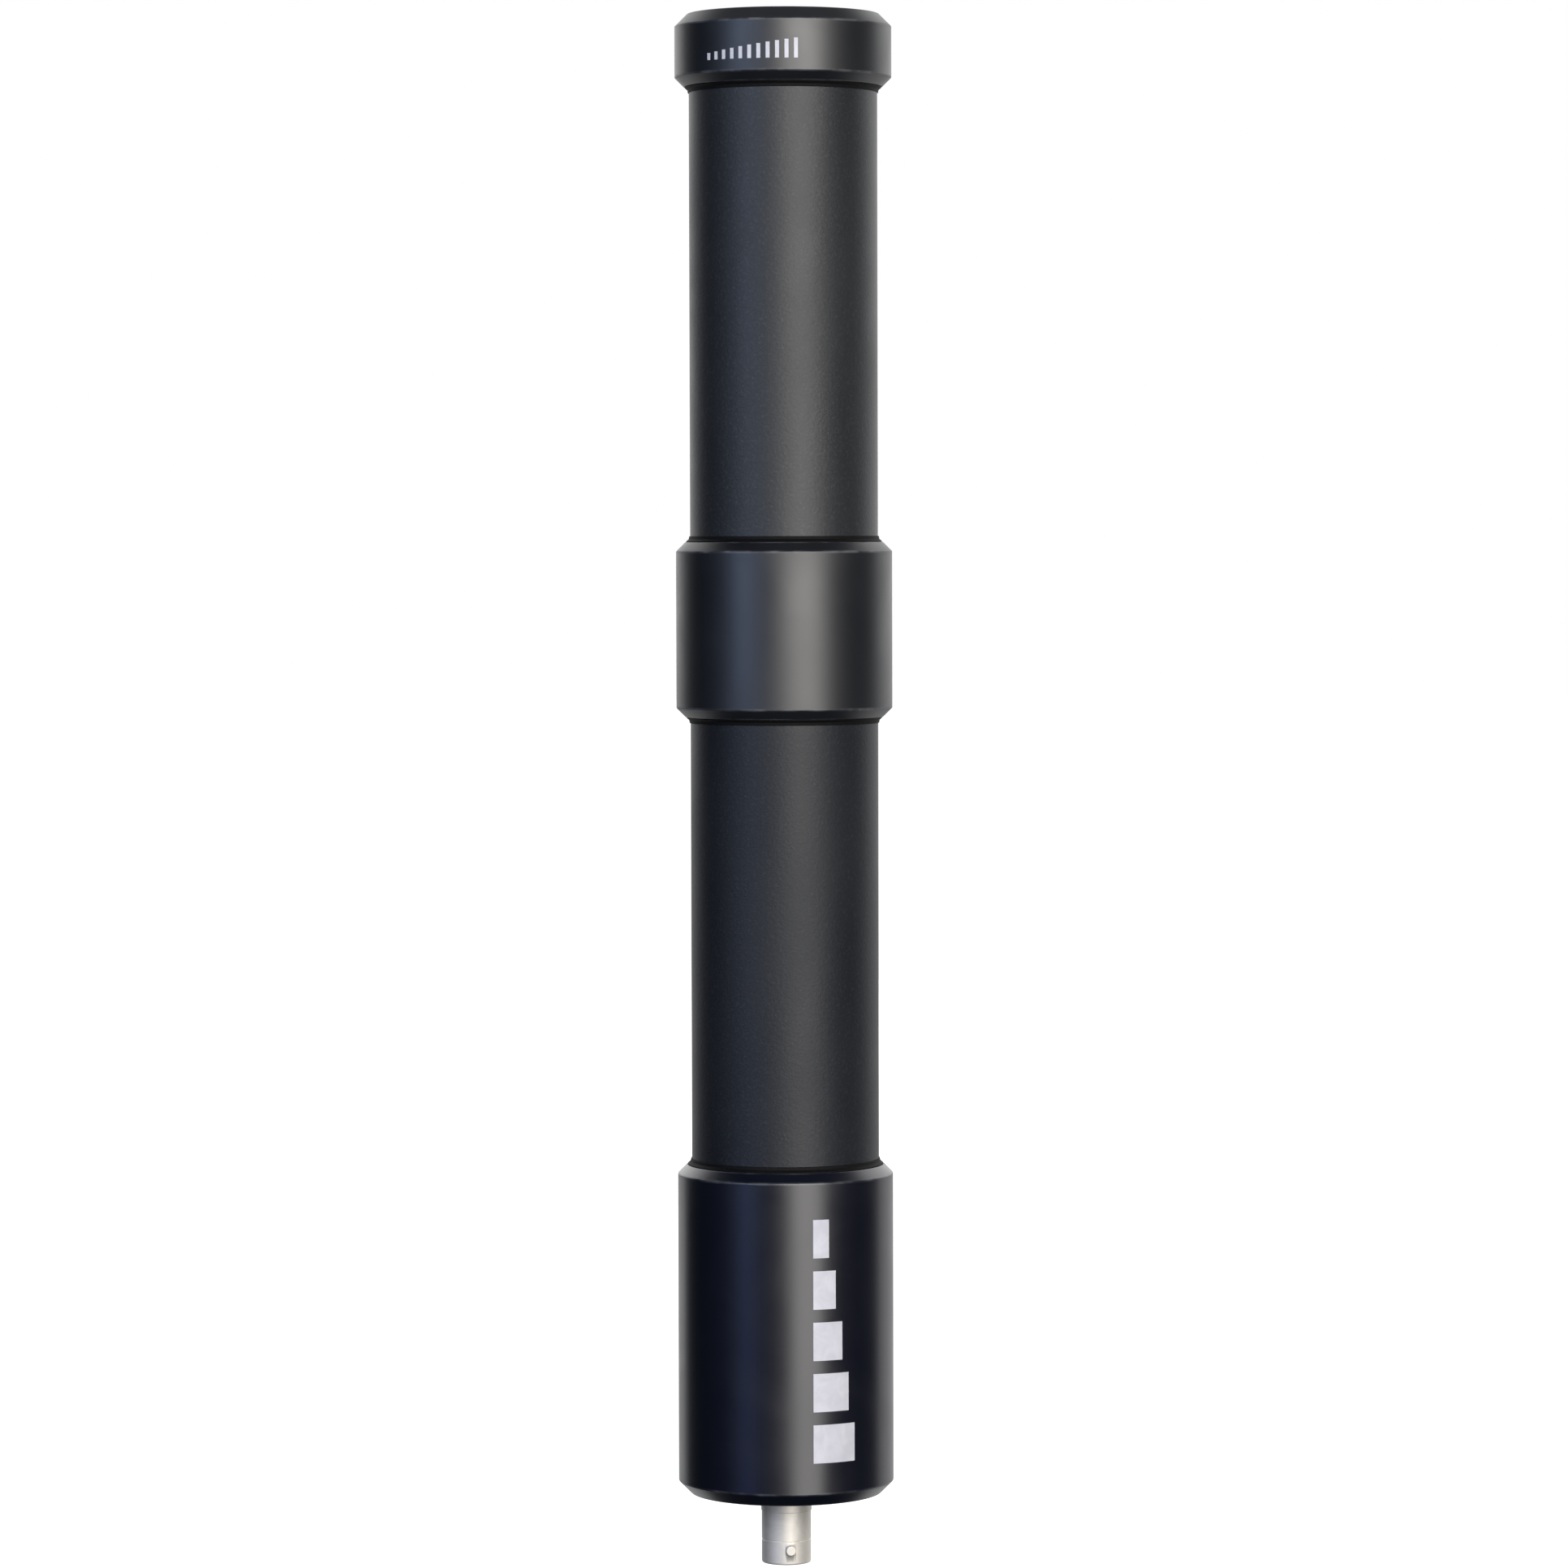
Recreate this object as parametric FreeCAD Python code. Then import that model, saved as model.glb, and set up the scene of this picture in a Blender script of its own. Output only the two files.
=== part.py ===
"""Stick antenna for wireless microphone receivers: two covered arms, a centre collar and a jack.

Millimetres. +Z runs up the antenna. The origin is the centre of the underside of the base, where
the BNC jack comes out and points down. Every shell, seal and inner piece is turned about the Z axis
unless its function says otherwise.
"""
import FreeCAD, Part
import math
import os

Vec = FreeCAD.Vector
UP = Vec(0, 0, 1)

# Outer sizes
FITTING_R = 21.0            # cap, collar and base
TUBE_R = 18.25              # both sleeve tubes
TUBE_WALL = 2.0
BASE_TOP = 64.45            # top of the base housing
COLLAR_BOTTOM = 151.3
COLLAR_TOP = 185.6
CAP_BOTTOM = 273.3
CAP_TOP = 287.45
END_BEVEL = 2.4             # bevel on the outer end faces of base and cap
JOINT_BEVEL = 1.95          # bevel on every fitting face that a tube enters
EDGE_ROUND = 0.35           # rounding where a bevel meets a wall
BOND_GAP = 0.05             # glue line between a tube and its socket

# Sockets, webs and walls
BASE_FLOOR = 6.4
BASE_SHOULDER = 45.2        # the lower tube stands on this step
CAP_ROOF = 4.0
WEB_THICK = 6.0             # the collar's inner web, which carries the feed board
WEB_HOLE_R = 6.0

# Sealing rings at the four places where a tube enters a fitting
SEAL_OUT_R = 19.05
SEAL_SEAT = 1.7             # depth of the seat that a ring sits in
SEAL_PROUD = 1.0            # how far it stands out of the seat

# BNC jack
BARREL_R = 4.825
BARREL_TIP = -13.9
BARREL_BORE_R = 4.06
SOCKET_FLOOR = -5.5         # metal floor of the ring-shaped socket
SHOULDER_R = 4.95
SHOULDER_END = -3.6
LUG_R = 1.0                 # bayonet lugs
LUG_REACH = 5.5             # axis to the tip of a lug
LUG_Z = -11.0
GROOVE_Z = -9.3
LUG_TURN = -80.0            # angle of the front lug about Z
FLANGE_R = 7.0
FLANGE_TOP = 2.1
SEAT_DEPTH = 2.6            # counterbore in the underside of the base
THREAD_R = 4.76
THREAD_PITCH = 0.794
THREAD_DEPTH = 0.4
THREAD_END = 14.7
FLAT_HALF = 4.35            # half the distance across the two flats of the tail
NECK_R = 3.3
NECK_END = 21.0
INNER_R = 3.0               # bore that holds the insulator
CONTACT_R = 1.05
CONTACT_TIP = -13.2
CONTACT_END = 16.0

# Thin coaxial cable, from the jack to the feed board
WIRE_R = 0.255
DIELECTRIC_R = 0.76
BRAID_R = 0.975
JACKET_R = 1.245

# Radiating arms and the board between them
ARM_R = 14.5
ARM_WALL = 0.5
ARM_FLANGE = 0.8
ARM_LENGTH = 98.0
ARM_SCREW_CIRCLE = 11.0
BOARD_R = 15.9
BOARD_THICK = 1.6
UPPER_SCREW_ANGLES = (90, 210, 330)
LOWER_SCREW_ANGLES = (30, 150, 270)
SCREW_R = 1.0
SCREW_HEAD_R = 1.9
SCREW_HEAD = 1.3
SCREW_DEPTH = 4.0           # how far a screw goes into the web

# Ferrite beads on the cable, below the lower arm
BEAD_COUNT = 4
BEAD_FIRST = 27.0
BEAD_PITCH = 8.8
BEAD_LENGTH = 8.4
BEAD_R = 4.9
BEAD_BORE_R = 1.35
SLEEVE_WALL = 0.35

WEB_BOTTOM = (COLLAR_BOTTOM + COLLAR_TOP - WEB_THICK) / 2
WEB_TOP = WEB_BOTTOM + WEB_THICK
TUBE_BORE_R = TUBE_R - TUBE_WALL
SOCKET_R = TUBE_R + BOND_GAP
BOARD_TOP = WEB_TOP + BOARD_THICK
UPPER_ARM_TOP = BOARD_TOP + ARM_LENGTH
LOWER_ARM_BOTTOM = WEB_BOTTOM - ARM_LENGTH
TUBE_TOP = CAP_TOP - CAP_ROOF


def turned(outline):
    """Solid of revolution from (radius, height) or (radius, height, corner rounding) points."""
    count = len(outline)
    places = [Vec(point[0], 0, point[1]) for point in outline]
    rounds = [point[2] if len(point) > 2 else 0 for point in outline]
    edges = []
    bends = []
    for i in range(count):
        here = places[i]
        to_last = (places[i - 1] - here).normalize()
        to_next = (places[(i + 1) % count] - here).normalize()
        if not rounds[i]:
            bends.append((here, here, None))
            continue
        half = to_last.getAngle(to_next) / 2
        setback = rounds[i] / math.tan(half)
        middle = (to_last + to_next).normalize()
        nearest = here + middle * (rounds[i] / math.sin(half) - rounds[i])
        bends.append((here + to_last * setback, here + to_next * setback, nearest))
    for i in range(count):
        arc_start, arc_end, nearest = bends[i]
        if nearest is not None:
            edges.append(Part.Arc(arc_start, nearest, arc_end).toShape())
        edges.append(Part.LineSegment(arc_end, bends[(i + 1) % count][0]).toShape())
    face = Part.Face(Part.Wire(edges))
    solid = face.revolve(Vec(0, 0, 0), UP, 360)
    return solid if solid.Volume > 0 else solid.reversed()


def ring(inner_r, outer_r, bottom, top):
    """Plain ring, or a disc where the inner radius is nought."""
    disc = Part.makeCylinder(outer_r, top - bottom, Vec(0, 0, bottom))
    if inner_r:
        disc = disc.cut(Part.makeCylinder(inner_r, top - bottom, Vec(0, 0, bottom)))
    return disc


def block(x, y, z, corner):
    return Part.makeBox(x, y, z, Vec(*corner))


def around(angle, radius, height):
    turn = math.radians(angle)
    return Vec(radius * math.cos(turn), radius * math.sin(turn), height)


def drilled(body, angles, radius, hole_r, bottom, top):
    for angle in angles:
        body = body.cut(Part.makeCylinder(hole_r, top - bottom, around(angle, radius, bottom)))
    return body


def flats(half_width, bottom, top):
    """The space between two parallel flats, for the jack's tail and the hole it goes through."""
    return block(30, 2 * half_width, top - bottom, (-15, -half_width, bottom))


# Shells ---------------------------------------------------------------------------------------

def base_housing():
    bevel_start = BASE_TOP - JOINT_BEVEL
    body = turned([
        (0, SEAT_DEPTH),
        (FLANGE_R + 0.1, SEAT_DEPTH),
        (FLANGE_R + 0.1, 0, 0.15),
        (FITTING_R - END_BEVEL, 0, EDGE_ROUND),
        (FITTING_R, END_BEVEL, EDGE_ROUND),
        (FITTING_R, bevel_start, EDGE_ROUND),
        (SEAL_OUT_R, BASE_TOP),
        (SEAL_OUT_R, BASE_TOP - SEAL_SEAT),
        (SOCKET_R, BASE_TOP - SEAL_SEAT),
        (SOCKET_R, BASE_SHOULDER),
        (TUBE_BORE_R, BASE_SHOULDER),
        (TUBE_BORE_R, BASE_FLOOR),
        (0, BASE_FLOOR),
    ])
    hole = Part.makeCylinder(THREAD_R + 0.06, BASE_FLOOR, Vec(0, 0, 0.5))
    return body.cut(hole.common(flats(FLAT_HALF + 0.06, 0, BASE_FLOOR + 1)))


def centre_collar():
    body = turned([
        (SEAL_OUT_R, COLLAR_BOTTOM),
        (FITTING_R, COLLAR_BOTTOM + JOINT_BEVEL, EDGE_ROUND),
        (FITTING_R, COLLAR_TOP - JOINT_BEVEL, EDGE_ROUND),
        (SEAL_OUT_R, COLLAR_TOP),
        (SEAL_OUT_R, COLLAR_TOP - SEAL_SEAT),
        (SOCKET_R, COLLAR_TOP - SEAL_SEAT),
        (SOCKET_R, WEB_TOP),
        (WEB_HOLE_R, WEB_TOP),
        (WEB_HOLE_R, WEB_BOTTOM),
        (SOCKET_R, WEB_BOTTOM),
        (SOCKET_R, COLLAR_BOTTOM + SEAL_SEAT),
        (SEAL_OUT_R, COLLAR_BOTTOM + SEAL_SEAT),
    ])
    upper_holes = (WEB_TOP - SCREW_DEPTH, WEB_TOP)
    lower_holes = (WEB_BOTTOM, WEB_BOTTOM + SCREW_DEPTH)
    body = drilled(body, UPPER_SCREW_ANGLES, ARM_SCREW_CIRCLE, SCREW_R, *upper_holes)
    return drilled(body, LOWER_SCREW_ANGLES, ARM_SCREW_CIRCLE, SCREW_R, *lower_holes)


def end_cap():
    return turned([
        (0, CAP_TOP),
        (0, TUBE_TOP),
        (SOCKET_R, TUBE_TOP),
        (SOCKET_R, CAP_BOTTOM + SEAL_SEAT),
        (SEAL_OUT_R, CAP_BOTTOM + SEAL_SEAT),
        (SEAL_OUT_R, CAP_BOTTOM),
        (FITTING_R, CAP_BOTTOM + JOINT_BEVEL, EDGE_ROUND),
        (FITTING_R, CAP_TOP - END_BEVEL, EDGE_ROUND),
        (FITTING_R - END_BEVEL, CAP_TOP, EDGE_ROUND),
    ])


def sleeve_tube(bottom, top):
    return turned([
        (TUBE_BORE_R, bottom),
        (TUBE_R, bottom, 0.3),
        (TUBE_R, top, 0.3),
        (TUBE_BORE_R, top),
    ])


def seal_ring(mouth, outward):
    """Sealing ring seated in a fitting whose mouth faces up (outward 1) or down (outward -1)."""
    inner_end = mouth - outward * SEAL_SEAT
    outer_end = mouth + outward * SEAL_PROUD
    return turned([
        (TUBE_R, inner_end),
        (SEAL_OUT_R, inner_end),
        (SEAL_OUT_R, mouth - outward * 0.1),
        (SEAL_OUT_R - 0.4, outer_end),
        (TUBE_R, outer_end),
    ])


# BNC jack -------------------------------------------------------------------------------------

def thread_outline():
    """Crest and root points of the tail's thread, as rings one pitch apart, going up."""
    start = SEAT_DEPTH + 0.4
    points = []
    for turn in range(int((THREAD_END - start) / THREAD_PITCH)):
        height = start + turn * THREAD_PITCH
        points.append((THREAD_R, height))
        points.append((THREAD_R - THREAD_DEPTH, height + THREAD_PITCH / 2))
    return points


def bnc_body():
    lip = 0.35
    body = turned([
        (BARREL_BORE_R, BARREL_TIP),
        (BARREL_R, BARREL_TIP, lip),
        (BARREL_R, GROOVE_Z - 0.15),
        (BARREL_R - 0.2, GROOVE_Z),
        (BARREL_R, GROOVE_Z + 0.15),
        (BARREL_R, SHOULDER_END - 0.1),
        (SHOULDER_R, SHOULDER_END),
        (SHOULDER_R, 0.1),
        (FLANGE_R, 0.1, 0.2),
        (FLANGE_R, FLANGE_TOP),
        (THREAD_R, FLANGE_TOP),
        *thread_outline(),
        (THREAD_R, THREAD_END),
        (THREAD_R - 0.5, THREAD_END + 0.5),
        (NECK_R, THREAD_END + 0.5),
        (NECK_R, NECK_END, 0.3),
        (JACKET_R + 0.05, NECK_END),
        (JACKET_R + 0.05, CONTACT_END + 1.0),
        (INNER_R, CONTACT_END + 1.0),
        (INNER_R, SOCKET_FLOOR),
        (BARREL_BORE_R, SOCKET_FLOOR),
    ])
    tail = ring(0, THREAD_R + 1, SEAT_DEPTH, THREAD_END + 0.5)
    body = body.cut(tail.cut(flats(FLAT_HALF, SEAT_DEPTH, THREAD_END + 1)))
    lug_start = BARREL_BORE_R + 0.1
    for turn in (LUG_TURN, LUG_TURN + 180):
        foot = around(turn, lug_start, LUG_Z)
        outward = around(turn, 1, 0)
        lug = Part.makeCylinder(LUG_R, LUG_REACH - lug_start, foot, outward)
        body = body.fuse(lug.makeChamfer(0.15, [lug.Edges[0]]))
    return body


def bnc_insulator():
    front_r = 2.36
    return turned([
        (CONTACT_R, CONTACT_TIP - 0.2),
        (front_r, CONTACT_TIP - 0.2, 0.2),
        (front_r, SOCKET_FLOOR),
        (INNER_R, SOCKET_FLOOR),
        (INNER_R, 13.0),
        (CONTACT_R, 13.0),
    ])


def bnc_contact():
    bore_r = 0.68
    bore_end = CONTACT_TIP + 5.0
    cup = CONTACT_END - 1.8
    pin = turned([
        (0, bore_end),
        (bore_r, bore_end),
        (bore_r, CONTACT_TIP),
        (CONTACT_R, CONTACT_TIP),
        (CONTACT_R, 13.0),
        (0.8, 13.2),
        (0.8, CONTACT_END),
        (WIRE_R, CONTACT_END),
        (WIRE_R, cup),
        (0, cup),
    ])
    slot = 0.3
    for turn in (0, 90):
        cut = block(4, slot, 4.0, (-2, -slot / 2, CONTACT_TIP))
        cut.rotate(Vec(0, 0, 0), UP, turn)
        pin = pin.cut(cut)
    return pin


def ground_lug():
    """Ring tag under the lock washer, with a tab that bends up to take the earth braid."""
    thick = 0.5
    tab_x = 9.2
    tab_top = 15.5
    tag = ring(THREAD_R + 0.1, 7.2, BASE_FLOOR, BASE_FLOOR + thick)
    reach = block(tab_x - 6.5, 3.4, thick, (6.5, -1.7, BASE_FLOOR))
    tab = block(thick, 3.4, tab_top - BASE_FLOOR, (tab_x - thick, -1.7, BASE_FLOOR))
    eye = Part.makeCylinder(0.8, 4, Vec(tab_x - 2, 0, tab_top - 1.8), Vec(1, 0, 0))
    return tag.fuse([reach, tab]).cut(eye).removeSplitter()


def lock_washer():
    """Internal tooth washer: the teeth are left between notches around its bore."""
    bottom = BASE_FLOOR + 0.5
    washer = ring(THREAD_R + 0.1, 7.0, bottom, bottom + 0.6)
    for tooth in range(10):
        notch = block(1.6, 1.1, 0.6, (THREAD_R - 0.4, -0.55, bottom))
        notch.rotate(Vec(0, 0, 0), UP, 36 * tooth)
        washer = washer.cut(notch)
    return washer


def bnc_nut():
    """Half-inch hexagon nut, bevelled on its upper face."""
    bottom = BASE_FLOOR + 1.1
    height = 2.4
    corner_r = 6.35 / math.cos(math.radians(30))
    corners = [around(60 * side, corner_r, bottom) for side in range(7)]
    nut = Part.Face(Part.makePolygon(corners)).extrude(Vec(0, 0, height))
    envelope = turned([(0, bottom), (corner_r, bottom), (corner_r, bottom + height - 0.5),
                       (corner_r - 0.9, bottom + height), (0, bottom + height)])
    nut = nut.common(envelope)
    return nut.cut(ring(0, THREAD_R + 0.02, bottom, bottom + height))


# Inner pieces ---------------------------------------------------------------------------------

def radiating_arm(flange_end, away):
    """Brass tube with a turned-in flange; away is 1 above the web and -1 below it."""
    flange_face = flange_end + away * ARM_FLANGE
    far_end = flange_end + away * ARM_LENGTH
    bore = ARM_R - ARM_WALL
    inner = 8.6 if away > 0 else WEB_HOLE_R
    arm = turned([
        (inner, flange_end),
        (ARM_R, flange_end),
        (ARM_R, far_end),
        (bore, far_end),
        (bore, flange_face),
        (inner, flange_face),
    ])
    angles = UPPER_SCREW_ANGLES if away > 0 else LOWER_SCREW_ANGLES
    bottom = min(flange_end, flange_face)
    return drilled(arm, angles, ARM_SCREW_CIRCLE, SCREW_R + 0.1, bottom, bottom + ARM_FLANGE)


def feed_board():
    board = ring(0.32, BOARD_R, WEB_TOP, BOARD_TOP)
    return drilled(board, UPPER_SCREW_ANGLES, ARM_SCREW_CIRCLE, SCREW_R + 0.1, WEB_TOP, BOARD_TOP)


def arm_screws(angles, seat, into, length):
    """Pan-head screws around the flange; into is -1 for screws that go down and 1 for up."""
    screws = []
    for angle in angles:
        place = around(angle, ARM_SCREW_CIRCLE, seat)
        head = Part.makeCylinder(SCREW_HEAD_R, SCREW_HEAD, place, Vec(0, 0, -into))
        head = head.makeFillet(0.4, [head.Edges[0]])
        shank = Part.makeCylinder(SCREW_R, length, place, Vec(0, 0, into))
        screw = head.fuse(shank)
        for turn in (0, 90):
            slot = block(2.2, 0.45, 0.7, (-1.1, -0.225, 0))
            slot.rotate(Vec(0, 0, 0), UP, turn + angle)
            slot.translate(place - Vec(0, 0, into * SCREW_HEAD))
            if into < 0:
                slot.translate(Vec(0, 0, -0.7))
            screw = screw.cut(slot)
        screws.append(screw)
    return Part.makeCompound(screws)


BALUN_X = -3.4              # middle of the balun on the board
BALUN_SIZE = (5.0, 7.0, 3.6)
BALUN_HOLE_R = 0.9
BALUN_HOLE_Y = 1.6


def balun_core():
    """Two-hole ferrite block."""
    long_x, wide_y, high = BALUN_SIZE
    core = block(long_x, wide_y, high, (BALUN_X - long_x / 2, -wide_y / 2, BOARD_TOP))
    for side in (-1, 1):
        start = Vec(BALUN_X - long_x, side * BALUN_HOLE_Y, BOARD_TOP + high / 2)
        core = core.cut(Part.makeCylinder(BALUN_HOLE_R, 2 * long_x, start, Vec(1, 0, 0)))
    return core


def balun_winding():
    """Two hairpins of enamelled wire, one above the other, through both holes of the block."""
    wire_r = 0.25
    bend_r = 0.8
    side = BALUN_HOLE_Y
    hairpins = []
    for level, loop_x, pad_x in ((-0.35, -6.15, 0.9), (0.35, -6.05, 1.9)):
        height = BOARD_TOP + BALUN_SIZE[2] / 2 + level
        middle = bend_r * (1 - math.sqrt(0.5))
        path = []
        for y in (-side, side):
            pad = Vec(pad_x, y, BOARD_TOP)
            bend_start = Vec(pad_x, y, height - bend_r)
            bend_middle = Vec(pad_x - middle, y, height - middle)
            bend_end = Vec(pad_x - bend_r, y, height)
            path.append(Part.LineSegment(pad, bend_start).toShape())
            path.append(Part.Arc(bend_start, bend_middle, bend_end).toShape())
            path.append(Part.LineSegment(bend_end, Vec(loop_x, y, height)).toShape())
        loop = Part.Arc(Vec(loop_x, -side, height), Vec(loop_x - side, 0, height),
                        Vec(loop_x, side, height))
        path.append(loop.toShape())
        wire = Part.Wire(Part.__sortEdges__(path))
        section = Part.Circle(Vec(pad_x, -side, BOARD_TOP), UP, wire_r)
        hairpins.append(wire.makePipeShell([Part.Wire([section.toShape()])], True, False))
    return Part.makeCompound(hairpins)


def chip_parts():
    """Chip capacitors and resistors on the feed board."""
    size = (2.0, 1.25, 0.6)
    places = ((3.0, 2.6), (3.0, 4.6), (3.0, -3.8), (3.0, -5.8), (6.2, 0.0))
    chips = [block(*size, (x, y - size[1] / 2, BOARD_TOP)) for x, y in places]
    return Part.makeCompound(chips)


def feed_strap():
    """Copper strap from the board's underside, down through the web, to the lower arm's flange."""
    thick = 0.4
    x = WEB_HOLE_R - 2 * thick
    foot_z = WEB_BOTTOM - ARM_FLANGE - thick
    upright = block(thick, 3, WEB_TOP - foot_z, (x, -1.5, foot_z))
    foot = block(3.2, 3, thick, (x, -1.5, foot_z))
    return upright.fuse(foot).removeSplitter()


def ferrite_beads():
    beads = []
    for number in range(BEAD_COUNT):
        bottom = BEAD_FIRST + number * BEAD_PITCH
        beads.append(turned([
            (BEAD_BORE_R, bottom, 0.3),
            (BEAD_R, bottom, 0.5),
            (BEAD_R, bottom + BEAD_LENGTH, 0.5),
            (BEAD_BORE_R, bottom + BEAD_LENGTH, 0.3),
        ]))
    return Part.makeCompound(beads)


def bead_sleeve():
    """Shrunk tube that holds the beads; it necks down onto the cable at both ends."""
    bottom = BEAD_FIRST
    top = BEAD_FIRST + (BEAD_COUNT - 1) * BEAD_PITCH + BEAD_LENGTH
    neck = 6.0
    taper = 1.6
    wide = BEAD_R + SLEEVE_WALL
    return turned([
        (JACKET_R, bottom - neck),
        (JACKET_R + SLEEVE_WALL, bottom - neck),
        (JACKET_R + SLEEVE_WALL, bottom - taper, 0.4),
        (wide, bottom - 0.1, 0.6),
        (wide, top + 0.1, 0.6),
        (JACKET_R + SLEEVE_WALL, top + taper, 0.4),
        (JACKET_R + SLEEVE_WALL, top + neck),
        (JACKET_R, top + neck),
        (JACKET_R, top + 0.4),
        (BEAD_R, top + 0.05),
        (BEAD_R, bottom - 0.05),
        (JACKET_R, bottom - 0.4),
    ])


SPACER_LENGTH = 8.0
GUIDE_BOTTOM = 112.0

NODES = {
    "base_housing": base_housing(),
    "base_seal_ring": seal_ring(BASE_TOP, 1),
    "lower_tube": sleeve_tube(BASE_SHOULDER, WEB_BOTTOM),
    "collar_lower_seal_ring": seal_ring(COLLAR_BOTTOM, -1),
    "centre_collar": centre_collar(),
    "collar_upper_seal_ring": seal_ring(COLLAR_TOP, 1),
    "upper_tube": sleeve_tube(WEB_TOP, TUBE_TOP),
    "cap_seal_ring": seal_ring(CAP_BOTTOM, -1),
    "end_cap": end_cap(),
    "bnc_body": bnc_body(),
    "bnc_insulator": bnc_insulator(),
    "bnc_contact": bnc_contact(),
    "bnc_flange_gasket": ring(THREAD_R + 0.1, FLANGE_R, FLANGE_TOP, SEAT_DEPTH),
    "ground_lug": ground_lug(),
    "bnc_lock_washer": lock_washer(),
    "bnc_nut": bnc_nut(),
    "coax_conductor": ring(0, WIRE_R, CONTACT_END - 1.8, BOARD_TOP + 0.6),
    "coax_dielectric": ring(WIRE_R, DIELECTRIC_R, CONTACT_END + 0.3, WEB_TOP),
    "coax_braid": ring(DIELECTRIC_R, BRAID_R, CONTACT_END + 1.0, WEB_TOP - 1.2),
    "coax_jacket": ring(BRAID_R, JACKET_R, CONTACT_END + 1.6, WEB_TOP - 3.0),
    "ferrite_beads": ferrite_beads(),
    "bead_sleeve": bead_sleeve(),
    "cable_guide_disc": ring(JACKET_R, ARM_R - ARM_WALL, GUIDE_BOTTOM, GUIDE_BOTTOM + SPACER_LENGTH),
    "lower_arm": radiating_arm(WEB_BOTTOM, -1),
    "lower_arm_screws": arm_screws(LOWER_SCREW_ANGLES, WEB_BOTTOM - ARM_FLANGE, 1,
                                   ARM_FLANGE + SCREW_DEPTH),
    "lower_arm_spacer": ring(ARM_R, TUBE_BORE_R, LOWER_ARM_BOTTOM, LOWER_ARM_BOTTOM + SPACER_LENGTH),
    "feed_strap": feed_strap(),
    "feed_board": feed_board(),
    "balun_core": balun_core(),
    "balun_winding": balun_winding(),
    "feed_chips": chip_parts(),
    "upper_arm": radiating_arm(BOARD_TOP, 1),
    "upper_arm_screws": arm_screws(UPPER_SCREW_ANGLES, BOARD_TOP + ARM_FLANGE, -1,
                                   ARM_FLANGE + BOARD_THICK + SCREW_DEPTH),
    "upper_arm_spacer": ring(ARM_R, TUBE_BORE_R, UPPER_ARM_TOP - SPACER_LENGTH, UPPER_ARM_TOP),
    "cap_foam_pad": ring(0, TUBE_BORE_R, UPPER_ARM_TOP, TUBE_TOP),
}

os.makedirs("parts", exist_ok=True)
for name, shape in NODES.items():
    if not shape.isValid() or shape.Volume <= 0:
        raise ValueError(f"{name} isn't a sound solid")
    shape.exportStep(f"parts/{name}.step")
    print(f"{name:26s} {len(shape.Solids)} solids {shape.Volume / 1000:9.3f} cm3")
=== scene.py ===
import math

import bpy
from mathutils import Matrix, Vector


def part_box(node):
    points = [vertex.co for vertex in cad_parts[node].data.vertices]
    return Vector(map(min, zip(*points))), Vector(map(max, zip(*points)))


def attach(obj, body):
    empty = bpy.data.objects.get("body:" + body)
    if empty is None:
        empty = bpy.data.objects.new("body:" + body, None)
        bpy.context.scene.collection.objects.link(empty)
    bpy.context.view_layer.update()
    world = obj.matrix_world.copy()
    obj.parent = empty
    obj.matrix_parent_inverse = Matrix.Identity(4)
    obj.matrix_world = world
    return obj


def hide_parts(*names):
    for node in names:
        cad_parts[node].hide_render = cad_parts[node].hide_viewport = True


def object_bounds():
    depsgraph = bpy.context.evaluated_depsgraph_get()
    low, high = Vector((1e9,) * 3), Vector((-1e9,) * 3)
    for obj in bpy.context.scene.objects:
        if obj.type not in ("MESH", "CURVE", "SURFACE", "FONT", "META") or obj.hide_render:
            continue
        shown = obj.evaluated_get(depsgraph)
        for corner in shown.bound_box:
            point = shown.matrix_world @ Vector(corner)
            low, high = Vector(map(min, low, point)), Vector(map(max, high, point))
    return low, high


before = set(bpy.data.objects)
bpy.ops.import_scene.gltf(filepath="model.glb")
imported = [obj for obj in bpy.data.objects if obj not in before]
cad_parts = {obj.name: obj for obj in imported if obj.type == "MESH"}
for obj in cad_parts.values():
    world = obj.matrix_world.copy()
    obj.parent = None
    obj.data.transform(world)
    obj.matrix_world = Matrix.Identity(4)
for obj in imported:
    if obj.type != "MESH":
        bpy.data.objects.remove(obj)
cad_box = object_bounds()
scene = bpy.context.scene


def put(name, data):
    """An object that carries the data, placed in the scene."""
    made = bpy.data.objects.new(name, data)
    scene.collection.objects.link(made)
    return made


# Camera ---------------------------------------------------------------------------------------
# A long lens a little over a metre away, at the height of the upper tube, so that it looks slightly
# down at the jack and slightly up at the cap. The antenna fills the frame from top to bottom.

camera_distance = 1.15
camera_rise = 0.0505                # above the antenna's middle
frame_height = 0.3052               # what the lens takes in at the antenna
camera_side = -0.00012
camera_roll = math.radians(-0.14)

scene.view_settings.view_transform = "Standard"
middle = (cad_box[0] + cad_box[1]) / 2
aim_rise = 0.0016
aim = Vector((camera_side, 0, middle.z + aim_rise))
lens = bpy.data.cameras.new("camera")
camera = put("camera", lens)
camera.location = (camera_side, -camera_distance, middle.z + camera_rise)
sight = aim - camera.location
lens.lens = lens.sensor_width * sight.length / frame_height
lens.clip_start = 0.05
lens.clip_end = 50
camera.rotation_euler = sight.to_track_quat("-Z", "Y").to_euler()
camera.rotation_euler.rotate_axis("Z", camera_roll)
scene.camera = camera


# Studio ---------------------------------------------------------------------------------------
# A pale floor, a wide soft light beside the camera, a bluish one on the left, two white sheets
# behind that draw the edges, and a weak light above them. The glossy base mirrors what is lower than
# itself, so the panels reach below the floor, which only the camera sees.

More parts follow.
